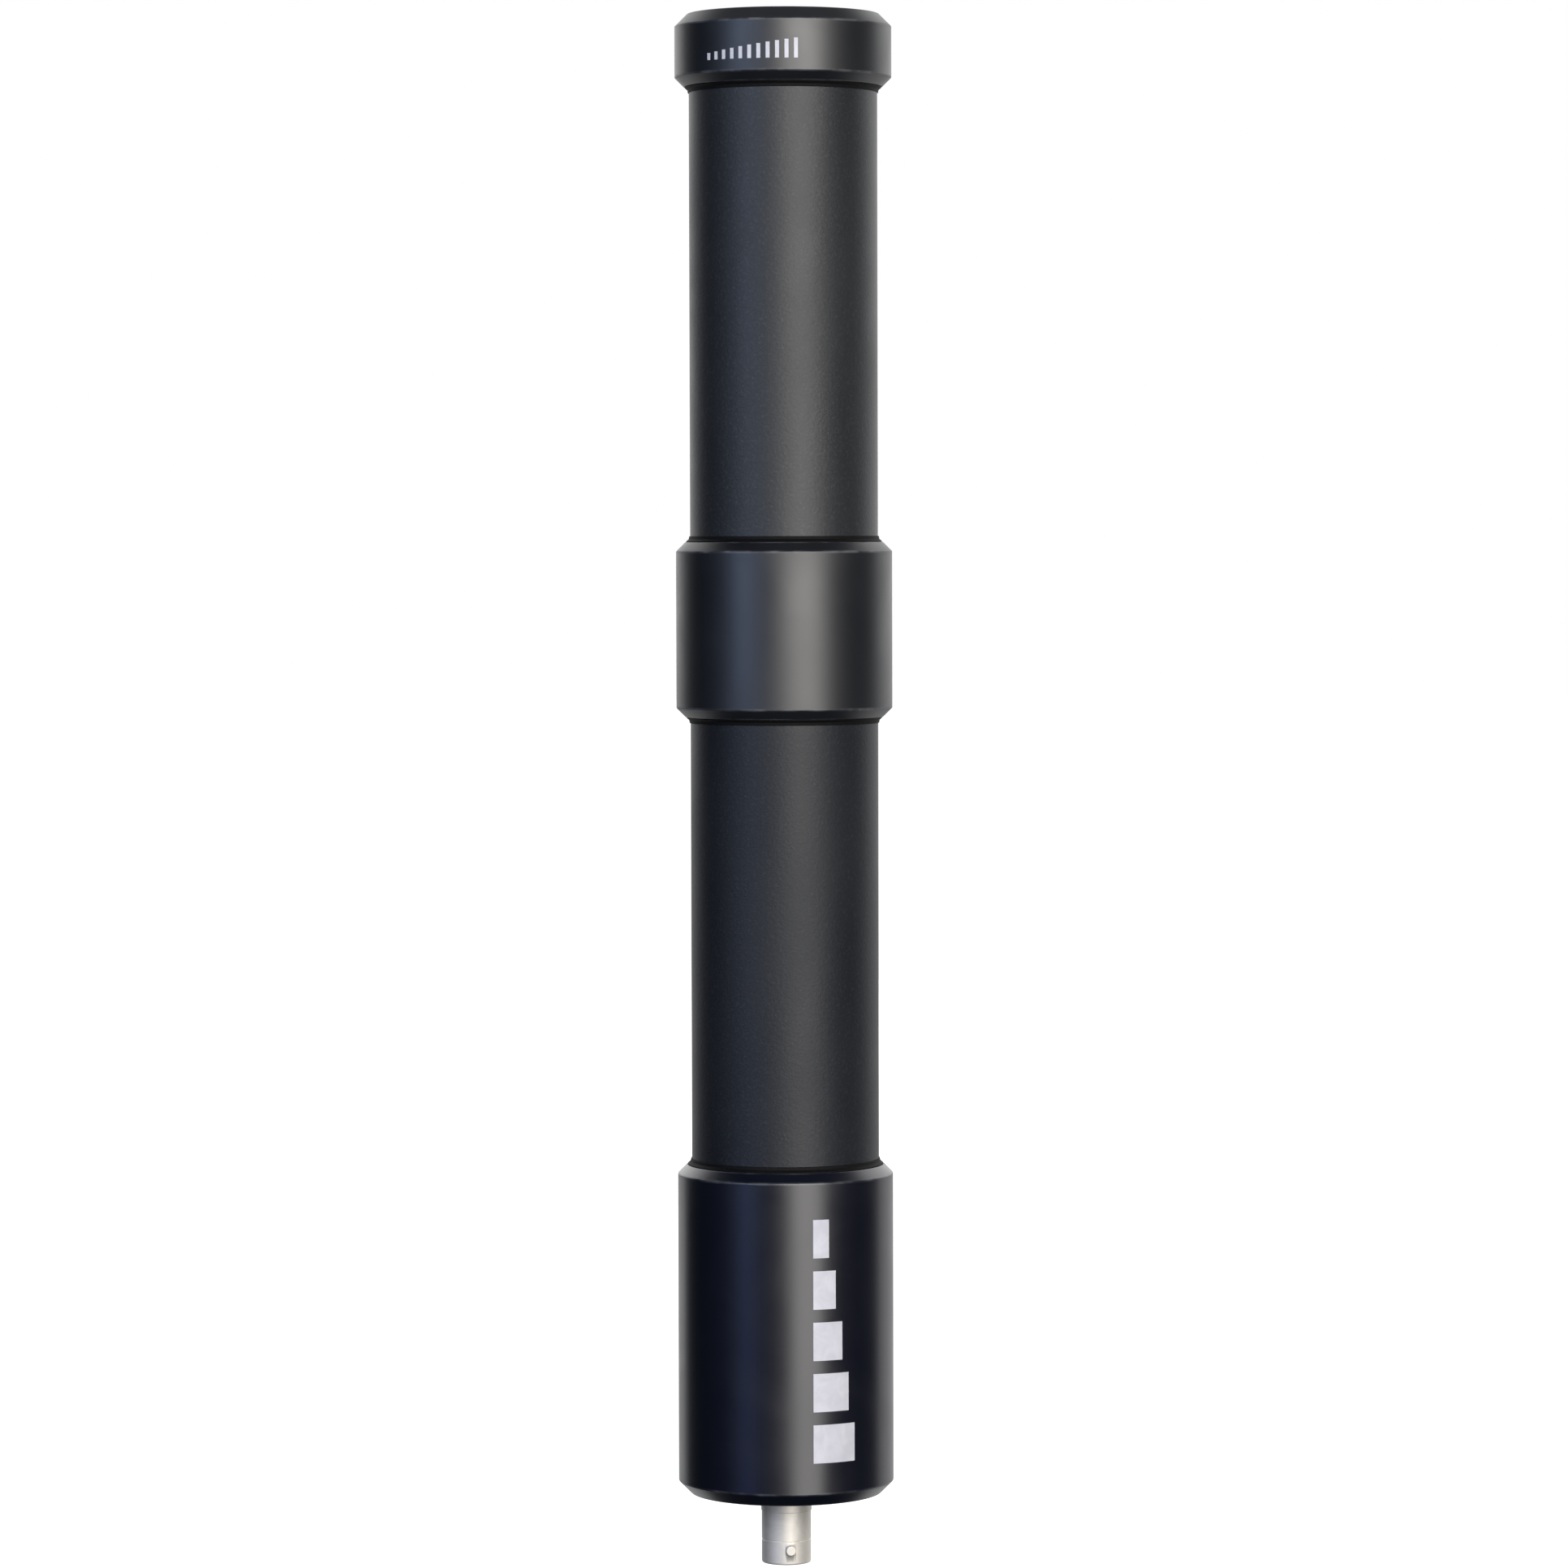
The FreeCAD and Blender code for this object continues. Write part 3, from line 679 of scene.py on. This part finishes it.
def printing_tree():
    """A row of ink bars round a wall; their sizes run evenly from the first to the last."""
    tree, given = new_tree("printed_bars", {
        "Count": (INTEGER, 5), "Radius": (FLOAT, 0.02), "Start Angle": (FLOAT, 0.0),
        "Along Step": (FLOAT, 0.0), "Foot": (FLOAT, 0.0), "Up Step": (FLOAT, 0.0),
        "First Width": (FLOAT, 0.001), "Last Width": (FLOAT, 0.001),
        "First Height": (FLOAT, 0.001), "Last Height": (FLOAT, 0.001),
        "Ink": (FLOAT, 0.00005), "Material": (MATERIAL, None)})
    line = add(tree, "GeometryNodeMeshLine", {"Count": given["Count"], "Offset": (0, 0, 0)})
    order = add(tree, "GeometryNodeInputIndex").outputs[0]
    share = maths(tree, "DIVIDE", order, maths(tree, "SUBTRACT", given["Count"], 1))
    size = []
    for first, last in (("First Width", "Last Width"), ("First Height", "Last Height")):
        growth = maths(tree, "SUBTRACT", given[last], given[first])
        size.append(maths(tree, "MULTIPLY_ADD", share, growth, given[first]))
    along = maths(tree, "MULTIPLY", order, given["Along Step"])
    up = maths(tree, "MULTIPLY_ADD", order, given["Up Step"], given["Foot"])
    corners = add(tree, "GeometryNodeSetPosition",
                  {"Geometry": line.outputs[0], "Position": joined(tree, along, 0, up)})
    block = add(tree, "GeometryNodeMeshCube", {"Size": (1, 1, 1), "Vertices X": 24})
    shifted = add(tree, "GeometryNodeTransform",
                  {"Geometry": block.outputs["Mesh"], "Translation": (0.5, 0.5, 0.5)})
    bars = add(tree, "GeometryNodeInstanceOnPoints",
               {"Points": corners.outputs[0], "Instance": shifted.outputs[0],
                "Scale": joined(tree, size[0], given["Ink"], size[1])})
    flat = add(tree, "GeometryNodeRealizeInstances", {"Geometry": bars.outputs[0]})
    across, out, height = parted(tree, add(tree, "GeometryNodeInputPosition").outputs[0])
    turn = maths(tree, "DIVIDE", across, given["Radius"])
    angle = maths(tree, "ADD", turn, given["Start Angle"])
    radius = maths(tree, "ADD", given["Radius"], out)
    wrapped = add(tree, "GeometryNodeSetPosition",
                  {"Geometry": flat.outputs[0],
                   "Position": round_axis(tree, radius, angle, height)})
    outward = add(tree, "GeometryNodeFlipFaces", {"Mesh": wrapped.outputs[0]})
    end_tree(tree, outward.outputs[0], given["Material"])
    return tree


def ink_finish():
    """Pale lavender ink, a little uneven where the pad pressed less."""
    material, tree, place = new_material("printed_ink")
    smear = effect(tree, handling, place=place, size=0.003, seed=11.0)["Smear"]
    grain = effect(tree, fine_grain, place=place, grain=0.0002)
    colour = mixed(tree, smear, (0.74, 0.74, 0.81, 1), (0.62, 0.62, 0.69, 1))
    dress(tree, colour, ranged(tree, grain["Fleck"], 0.5, 0.62), grain["Height"])
    return material


printing = printing_tree()
ink = ink_finish()
ink_sunk = 0.035                    # hidden in the wall
ink_layer = 0.06

bars_top = 55.5
bars_turn = -75.5                   # where the bars' left edge is, in degrees from +X
bar_length = 7.4
bar_pitch = 9.9
bar_widths = (3.2, 8.9)             # of the first and the last
base_print = grown("base_printed_bars", printing, bpy.data.meshes.new("blank"), count=5,
                   radius=(base_r - ink_sunk) * MM, start_angle=math.radians(bars_turn),
                   foot=(bars_top - bar_length) * MM, up_step=-bar_pitch * MM,
                   first_width=bar_widths[0] * MM, last_width=bar_widths[1] * MM,
                   first_height=bar_length * MM, last_height=bar_length * MM,
                   ink=ink_layer * MM, material=ink)

ticks_foot = 277.5
ticks_turn = -133.4
tick_step = 1.8
tick_width = 0.75
tick_heights = (1.3, 3.8)
cap_print = grown("cap_printed_ticks", printing, bpy.data.meshes.new("blank"), count=11,
                  radius=(cap_r - ink_sunk) * MM, start_angle=math.radians(ticks_turn),
                  along_step=tick_step * MM, foot=ticks_foot * MM, first_width=tick_width * MM,
                  last_width=tick_width * MM, first_height=tick_heights[0] * MM,
                  last_height=tick_heights[1] * MM, ink=ink_layer * MM, material=ink)
for print_piece in (base_print, cap_print):
    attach(print_piece, BODY)


# Jack body ------------------------------------------------------------------------------------
# One nickelled brass turning: a barrel with two bayonet lugs, a flange that seats in the base, a
# threaded tail with two flats and a neck that grips the cable's braid.

def plated(name, colour, tint, rough, marks, spacing, seed, metal=1.0):
    """Metal or plate with fine tool rings, and smears that dull and tint it."""
    material, tree, place = new_material(name)
    smear = effect(tree, handling, place=place, size=0.004, seed=seed)["Smear"]
    grain = effect(tree, fine_grain, place=place, grain=0.0002)
    rings = effect(tree, lathe_marks, place=place, spacing=spacing)["Height"]
    relief = maths(tree, "ADD", rings, maths(tree, "MULTIPLY", grain["Height"], 0.4))
    dress(tree, mixed(tree, smear, colour, tint),
          ranged(tree, smear, rough, rough + 0.12), relief, strength=marks, metallic=metal)
    return material


def fitted(piece, tools, operation):
    """Joins or cuts closed pieces, and eases the shading of what is left."""
    for tool in tools:
        cut = piece.modifiers.new("fit", "BOOLEAN")
        cut.operation = operation
        cut.object = tool
        cut.solver = "EXACT"
    piece.modifiers.new("flat_faces_stay_flat", "WEIGHTED_NORMAL").keep_sharp = True
    mesh = evaluated_mesh(piece)
    piece.modifiers.clear()
    piece.data = mesh
    for tool in tools:
        bpy.data.objects.remove(tool)


nickel = plated("nickel_plate", colour=(0.93, 0.90, 0.84, 1), tint=(0.78, 0.75, 0.69, 1),
                rough=0.52, marks=0.35, spacing=0.00018, seed=13.0, metal=0.60)
barrel_r = 4.825
bore_r = 4.06
bore_floor = -5.5
groove_half = 0.15
groove_depth = 0.2
shoulder_r = 4.95
shoulder_end = -3.6
groove_z = -9.3
flange_foot = 0.1
flange_top = span("bnc_flange_gasket")[1]
thread_r = 4.76
thread_depth = 0.4
thread_pitch = 0.794
thread_start = jack_seat + 0.4
thread_end = 14.7
tail_chamfer = 0.5
neck_r = 3.3
insulator_r = 3.0
insulator_stop = 17.0
cable_hole_r = span("coax_jacket")[0] + 0.05
thread = []
for turn in range(int((thread_end - thread_start) / thread_pitch)):
    crest = thread_start + turn * thread_pitch
    thread += [(thread_r, crest), (thread_r - thread_depth, crest + thread_pitch / 2)]
jack = grown("jack_body", turning, outline_mesh("jack_outline", [
    (bore_r, jack_tip, 0.08),
    (barrel_r, jack_tip, 0.35),
    (barrel_r, groove_z - groove_half, 0.03),
    (barrel_r - groove_depth, groove_z, 0.03),
    (barrel_r, groove_z + groove_half, 0.03),
    (barrel_r, shoulder_end - 0.1, 0.02),
    (shoulder_r, shoulder_end, 0.02),
    (shoulder_r, flange_foot, 0.05),
    (jack_r, flange_foot, 0.2),
    (jack_r, flange_top, 0.1),
    (thread_r, flange_top),
    *thread,
    (thread_r, thread_end),
    (thread_r - tail_chamfer, thread_end + tail_chamfer),
    (neck_r, thread_end + tail_chamfer, 0.1),
    (neck_r, jack_end, 0.3),
    (cable_hole_r, jack_end, 0.1),
    (cable_hole_r, insulator_stop),
    (insulator_r, insulator_stop),
    (insulator_r, bore_floor),
    (bore_r, bore_floor, 0.1),
], steps=4, support=0.02), segments=128, material=nickel)

lug_r = 1.0
lug_start = 4.16
lug_reach = 5.5
lug_height = -11.0
lug_turn = -80
lugs = []
for side in (0, 180):
    lug = grown("lug", turning, outline_mesh("lug_outline", [
        (0, 0), (lug_r, 0), (lug_r, lug_reach - lug_start, 0.18), (0, lug_reach - lug_start),
    ], closed=False, steps=4, support=0.05), segments=48, material=nickel)
    outwards = Matrix.Rotation(math.radians(lug_turn + side), 4, "Z")
    foot = Matrix.Translation((lug_start * MM, 0, lug_height * MM))
    lug.data.transform(outwards @ foot @ Matrix.Rotation(math.pi / 2, 4, "Y"))
    lugs.append(lug)
fitted(jack, lugs, "UNION")

flat_half = 4.35
tool_reach = 6.0                    # past the thread on every side
tool_top = thread_end + 0.6
flat_tools = []
for side in (1, -1):
    near, far = flat_half * MM, tool_reach * MM
    low, high = jack_seat * MM, tool_top * MM
    tool_mesh = bpy.data.meshes.new("flat_tool")
    places = [(x * far, side * y, z) for z in (low, high) for x, y in
              ((-side, near), (side, near), (side, far), (-side, far))]
    tool_mesh.from_pydata(places, [], [(3, 2, 1, 0), (4, 5, 6, 7), (0, 1, 5, 4), (1, 2, 6, 5),
                                       (2, 3, 7, 6), (3, 0, 4, 7)])
    flat_tools.append(put("flat_tool", tool_mesh))
fitted(jack, flat_tools, "DIFFERENCE")
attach(jack, BODY)
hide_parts("bnc_body")


# Jack insulator -------------------------------------------------------------------------------
# White PTFE, turned to a close fit in the jack's bore. It keeps the centre contact on the axis, and
# its slim front end stands inside the ring-shaped socket.

def smooth_plastic(name, colour, shade, rough, seed):
    """Unpainted smooth plastic: faint tool rings, and smears that change its tone and gloss."""
    material, tree, place = new_material(name)
    smear = effect(tree, handling, place=place, size=0.005, seed=seed)["Smear"]
    rings = effect(tree, lathe_marks, place=place, spacing=0.0002)["Height"]
    dress(tree, mixed(tree, smear, colour, shade),
          ranged(tree, smear, rough, rough + 0.12), rings, strength=0.15)
    return material


ptfe = smooth_plastic("white_ptfe", colour=(0.80, 0.80, 0.78, 1), shade=(0.68, 0.68, 0.65, 1),
                      rough=0.42, seed=17.0)
contact_r = span("bnc_contact")[0]
front_r = 2.36
insulator_low, insulator_high = span("bnc_insulator")[1:]
insulator = grown("jack_insulator", turning, outline_mesh("insulator_outline", [
    (contact_r, insulator_low, 0.05),
    (front_r, insulator_low, 0.2),
    (front_r, bore_floor),
    (insulator_r, bore_floor),
    (insulator_r, insulator_high, 0.1),
    (contact_r, insulator_high),
], support=0.02), segments=96, material=ptfe)
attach(insulator, BODY)
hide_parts("bnc_insulator")


# Centre contact -------------------------------------------------------------------------------
# A gold-plated socket on the axis with four slots, so that its fingers spring onto the plug's pin.
# The cable's centre wire is soldered into the cup at its other end.

def carried(material, *nodes):
    """Gives pieces that keep their CAD shape their real finish."""
    for node in nodes:
        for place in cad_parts[node].material_slots:
            place.material = material


gold = plated("gold_plate", colour=(0.85, 0.61, 0.26, 1), tint=(0.72, 0.48, 0.18, 1), rough=0.20,
              marks=0.25, spacing=0.00015, seed=19.0)
carried(gold, "bnc_contact")


# Flange gasket --------------------------------------------------------------------------------
# A thin ring punched from black rubber, squeezed between the jack's flange and the base.

carried(rubber, "bnc_flange_gasket")


# Earth tag ------------------------------------------------------------------------------------
# Stamped from tinned brass: a ring under the lock washer, and a tab bent up with an eye for a wire.

tinned = plated("tinned_brass", colour=(0.58, 0.58, 0.55, 1), tint=(0.42, 0.42, 0.40, 1),
                rough=0.38, marks=0.30, spacing=0.0004, seed=23.0)
carried(tinned, "ground_lug")


# Lock washer and nut --------------------------------------------------------------------------
# A washer with inner teeth and a half-inch hexagon nut, both nickelled, which clamp the jack from
# inside the base.

carried(nickel, "bnc_lock_washer", "bnc_nut")


# Cable ----------------------------------------------------------------------------------------
# Thin coaxial cable from the jack to the feed board: a copper wire, white PTFE round it, a braid of
# tinned strands and a smooth black jacket, each stripped back a little further than the last.

def crossed_strands_effect():
    """Strands that spiral both ways round the axis: the height of whichever is on top."""
    tree, given = new_effect("crossed_strands", {"Strands": 12.0, "Pitch": 0.006}, "Height")
    x, y, z = parted(tree, given["Place"])
    turn = maths(tree, "ARCTAN2", y, x)
    climb = maths(tree, "DIVIDE", maths(tree, "MULTIPLY", z, 2 * math.pi), given["Pitch"])
    waves = [maths(tree, "SINE", maths(tree, "MULTIPLY", maths(tree, way, turn, climb),
                                       given["Strands"])) for way in ("ADD", "SUBTRACT")]
    add(tree, "NodeGroupOutput", {"Height": maths(tree, "MAXIMUM", *waves)})
    return tree


def braid_finish():
    """Bright tinned strands, with painted shade in the gaps between them."""
    material, tree, place = new_material("braided_strands")
    weave = effect(tree, crossed_strands, place=place, strands=12.0, pitch=0.007)["Height"]
    # The dark colour where the weave is low is painted shade in the gaps between strands.
    dress(tree, mixed(tree, weave, (0.12, 0.11, 0.10, 1), (0.62, 0.61, 0.58, 1)),
          ranged(tree, weave, 0.5, 0.3), weave, strength=0.6, depth=0.00008, metallic=1.0)
    return material


crossed_strands = crossed_strands_effect()
copper = plated("copper", colour=(0.78, 0.37, 0.20, 1), tint=(0.52, 0.24, 0.13, 1), rough=0.26,
                marks=0.20, spacing=0.0003, seed=29.0)
jacket = smooth_plastic("cable_jacket", colour=(0.012, 0.012, 0.014, 1),
                        shade=(0.03, 0.03, 0.033, 1), rough=0.36, seed=31.0)
carried(copper, "coax_conductor")
carried(ptfe, "coax_dielectric")
carried(braid_finish(), "coax_braid")
carried(jacket, "coax_jacket")


# Ferrite beads --------------------------------------------------------------------------------
# Four fired ferrite sleeves threaded on the cable below the lower arm, where they keep the radio
# current off the outside of the braid.

def beads_tree():
    """A row of like pieces on the cable, each spun from the same outline."""
    tree, given = new_tree("beads_on_the_cable", {
        "Count": (INTEGER, 4), "Pitch": (FLOAT, 0.009), "Segments": (INTEGER, 96),
        "Material": (MATERIAL, None)})
    bead = add(tree, "GeometryNodeGroup", {"Geometry": given["Geometry"],
                                           "Segments": given["Segments"],
                                           "Material": given["Material"]}, node_tree=turning)
    line = add(tree, "GeometryNodeMeshLine", {"Count": given["Count"],
                                              "Offset": joined(tree, 0, 0, given["Pitch"])})
    row = add(tree, "GeometryNodeInstanceOnPoints", {"Points": line.outputs[0],
                                                     "Instance": bead.outputs[0]})
    end_tree(tree, row.outputs[0], given["Material"])
    return tree


def fired_ceramic(name, colour, speck, rough):
    """Pressed and fired powder: a dense grain with scattered specks."""
    material, tree, place = new_material(name)
    grain = effect(tree, fine_grain, place=place, grain=0.0002)
    dress(tree, mixed(tree, grain["Fleck"], colour, speck),
          ranged(tree, grain["Fleck"], rough, rough + 0.15), grain["Height"], strength=0.35,
          depth=0.00004)
    return material


ferrite = fired_ceramic("ferrite", colour=(0.022, 0.022, 0.025, 1), speck=(0.07, 0.07, 0.075, 1),
                        rough=0.5)
bead_r, beads_low, beads_high = span("ferrite_beads")
bead_count = 4
bead_pitch = 8.8
bead_length = beads_high - beads_low - (bead_count - 1) * bead_pitch
bead_hole_r = 1.35
beads = grown("ferrite_bead_row", beads_tree(), outline_mesh("bead_outline", [
    (bead_hole_r, beads_low, 0.3),
    (bead_r, beads_low, 0.5),
    (bead_r, beads_low + bead_length, 0.5),
    (bead_hole_r, beads_low + bead_length, 0.3),
], support=0.05), count=bead_count, pitch=bead_pitch * MM, material=ferrite)
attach(beads, BODY)
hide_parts("ferrite_beads")


# Bead sleeve ----------------------------------------------------------------------------------
# Black tube shrunk over the beads with hot air, which necks down onto the cable at both ends and
# keeps a faint mark where one bead meets the next.

def shrunk_tube():
    """Satin black, slightly wrinkled, with a shallow dip over every joint between beads."""
    material, tree, place = new_material("shrink_sleeve")
    height = maths(tree, "SUBTRACT", parted(tree, place)[2], beads_low * MM)
    beat = maths(tree, "MULTIPLY", height, 2 * math.pi / (bead_pitch * MM))
    dip = maths(tree, "POWER", maths(tree, "ABSOLUTE", maths(tree, "COSINE", maths(
        tree, "MULTIPLY", beat, 0.5))), 24.0)
    wrinkle = effect(tree, handling, place=place, size=0.003, seed=37.0)["Smear"]
    relief = maths(tree, "SUBTRACT", maths(tree, "MULTIPLY", wrinkle, 0.2), dip)
    dress(tree, mixed(tree, wrinkle, (0.010, 0.010, 0.011, 1), (0.022, 0.022, 0.024, 1)),
          ranged(tree, wrinkle, 0.36, 0.5), relief, strength=0.4, depth=0.0002)
    return material


carried(shrunk_tube(), "bead_sleeve")


# Foam pieces ----------------------------------------------------------------------------------
# Cut from sheet with a round blade: white foam for the disc that centres the cable and the rings
# that centre the arms' far ends, and grey foam for the pad that presses down on the upper arm.

def cut_foam(name, colour, shade, cell):
    """Closed-cell foam: a net of thin cell walls with a shadow inside each cut cell."""
    material, tree, place = new_material(name)
    walls = add(tree, "ShaderNodeTexVoronoi", {"Vector": place, "Scale": 1 / cell},
                feature="DISTANCE_TO_EDGE").outputs["Distance"]
    depth = ranged(tree, walls, 1, 0, first=0.02, last=0.25)
    dress(tree, mixed(tree, depth, shade, colour), ranged(tree, depth, 0.95, 0.8), depth,
          strength=0.7, depth=0.0002)
    return material


white_foam = cut_foam("white_foam", colour=(0.80, 0.80, 0.79, 1), shade=(0.50, 0.50, 0.49, 1),
                      cell=0.0007)
grey_foam = cut_foam("grey_foam", colour=(0.10, 0.10, 0.11, 1), shade=(0.035, 0.035, 0.038, 1),
                     cell=0.0010)
carried(white_foam, "cable_guide_disc", "lower_arm_spacer", "upper_arm_spacer")
carried(grey_foam, "cap_foam_pad")


# Radiating arms -------------------------------------------------------------------------------
# Two wide tubes of thin brass, drawn with a turned-in flange at the end that faces the collar. They
# are the antenna itself, left bare and a little tarnished.

brass = plated("brass_sheet", colour=(0.70, 0.49, 0.20, 1), tint=(0.44, 0.28, 0.11, 1), rough=0.28,
               marks=0.45, spacing=0.0009, seed=41.0)
carried(brass, "lower_arm", "upper_arm")


# Arm screws -----------------------------------------------------------------------------------
# Six small cross-slotted pan-head screws in blued steel, three through each arm's flange.

blued = plated("screw_steel", colour=(0.24, 0.24, 0.26, 1), tint=(0.15, 0.15, 0.16, 1), rough=0.32,
               marks=0.30, spacing=0.0002, seed=43.0)
carried(blued, "lower_arm_screws", "upper_arm_screws")


# Feed strap -----------------------------------------------------------------------------------
# A short strip of copper, bent at a right angle, from the board to the lower arm's flange.

carried(copper, "feed_strap")


# Feed board -----------------------------------------------------------------------------------
# A round of glass laminate under green lacquer. The upper arm's flange stands on a bare tinned ring.

def board_finish():
    """Green lacquer over a fine weave, with the tinned ring left bare."""
    material, tree, place = new_material("board_laminate")
    ring_middle, ring_half, thread_width = 0.0116, 0.0032, 0.0006
    ring = maths(tree, "COMPARE", off_axis(tree, place), ring_middle, ring_half)
    weave = maths(tree, "MULTIPLY", *[
        maths(tree, "SINE", maths(tree, "MULTIPLY", across, math.pi / thread_width))
        for across in parted(tree, place)[:2]])
    grain = effect(tree, fine_grain, place=place, grain=0.0003)["Fleck"]
    lacquer = mixed(tree, grain, (0.010, 0.065, 0.028, 1), (0.016, 0.10, 0.045, 1))
    dress(tree, mixed(tree, ring, lacquer, (0.62, 0.61, 0.57, 1)),
          ranged(tree, ring, 0.28, 0.36), weave, strength=0.15, depth=0.00003, metallic=ring)
    return material


carried(board_finish(), "feed_board")


# Matching transformer -------------------------------------------------------------------------
# A two-hole ferrite block, and two hairpins of enamelled copper wire threaded through both holes and
# soldered to the board.

def enamelled_copper():
    """Copper seen through amber lacquer, darker where the lacquer is thick."""
    material, tree, place = new_material("enamelled_wire")
    pooled = effect(tree, handling, place=place, size=0.001, seed=47.0)["Smear"]
    dress(tree, mixed(tree, pooled, (0.60, 0.20, 0.07, 1), (0.34, 0.09, 0.03, 1)),
          ranged(tree, pooled, 0.22, 0.34), metallic=0.9, coat_weight=0.8, coat_roughness=0.12)
    return material


carried(ferrite, "balun_core")
carried(enamelled_copper(), "balun_winding")


# Chip parts -----------------------------------------------------------------------------------
# Five ceramic chips on the board, tan in the middle, with tinned ends that are soldered down.

def chip_finish():
    """Tan ceramic body, and metal caps at both ends of every chip's length."""
    material, tree, place = new_material("chip_ceramic")
    first_end, chip_spacing, chip_length, cap_length = 0.0030, 0.0032, 0.0020, 0.0004
    margin = 0.0001
    along = maths(tree, "FLOORED_MODULO", maths(tree, "SUBTRACT", parted(tree, place)[0],
                                                first_end - margin), chip_spacing)
    from_middle = maths(tree, "ABSOLUTE", maths(tree, "SUBTRACT", along,
                                                chip_length / 2 + margin))
    metal = maths(tree, "GREATER_THAN", from_middle, chip_length / 2 - cap_length)
    grain = effect(tree, fine_grain, place=place, grain=0.0001)["Fleck"]
    tan = mixed(tree, grain, (0.36, 0.23, 0.12, 1), (0.46, 0.31, 0.18, 1))
    dress(tree, mixed(tree, metal, tan, (0.60, 0.60, 0.58, 1)),
          ranged(tree, grain, 0.32, 0.45), metallic=metal)
    return material


carried(chip_finish(), "feed_chips")
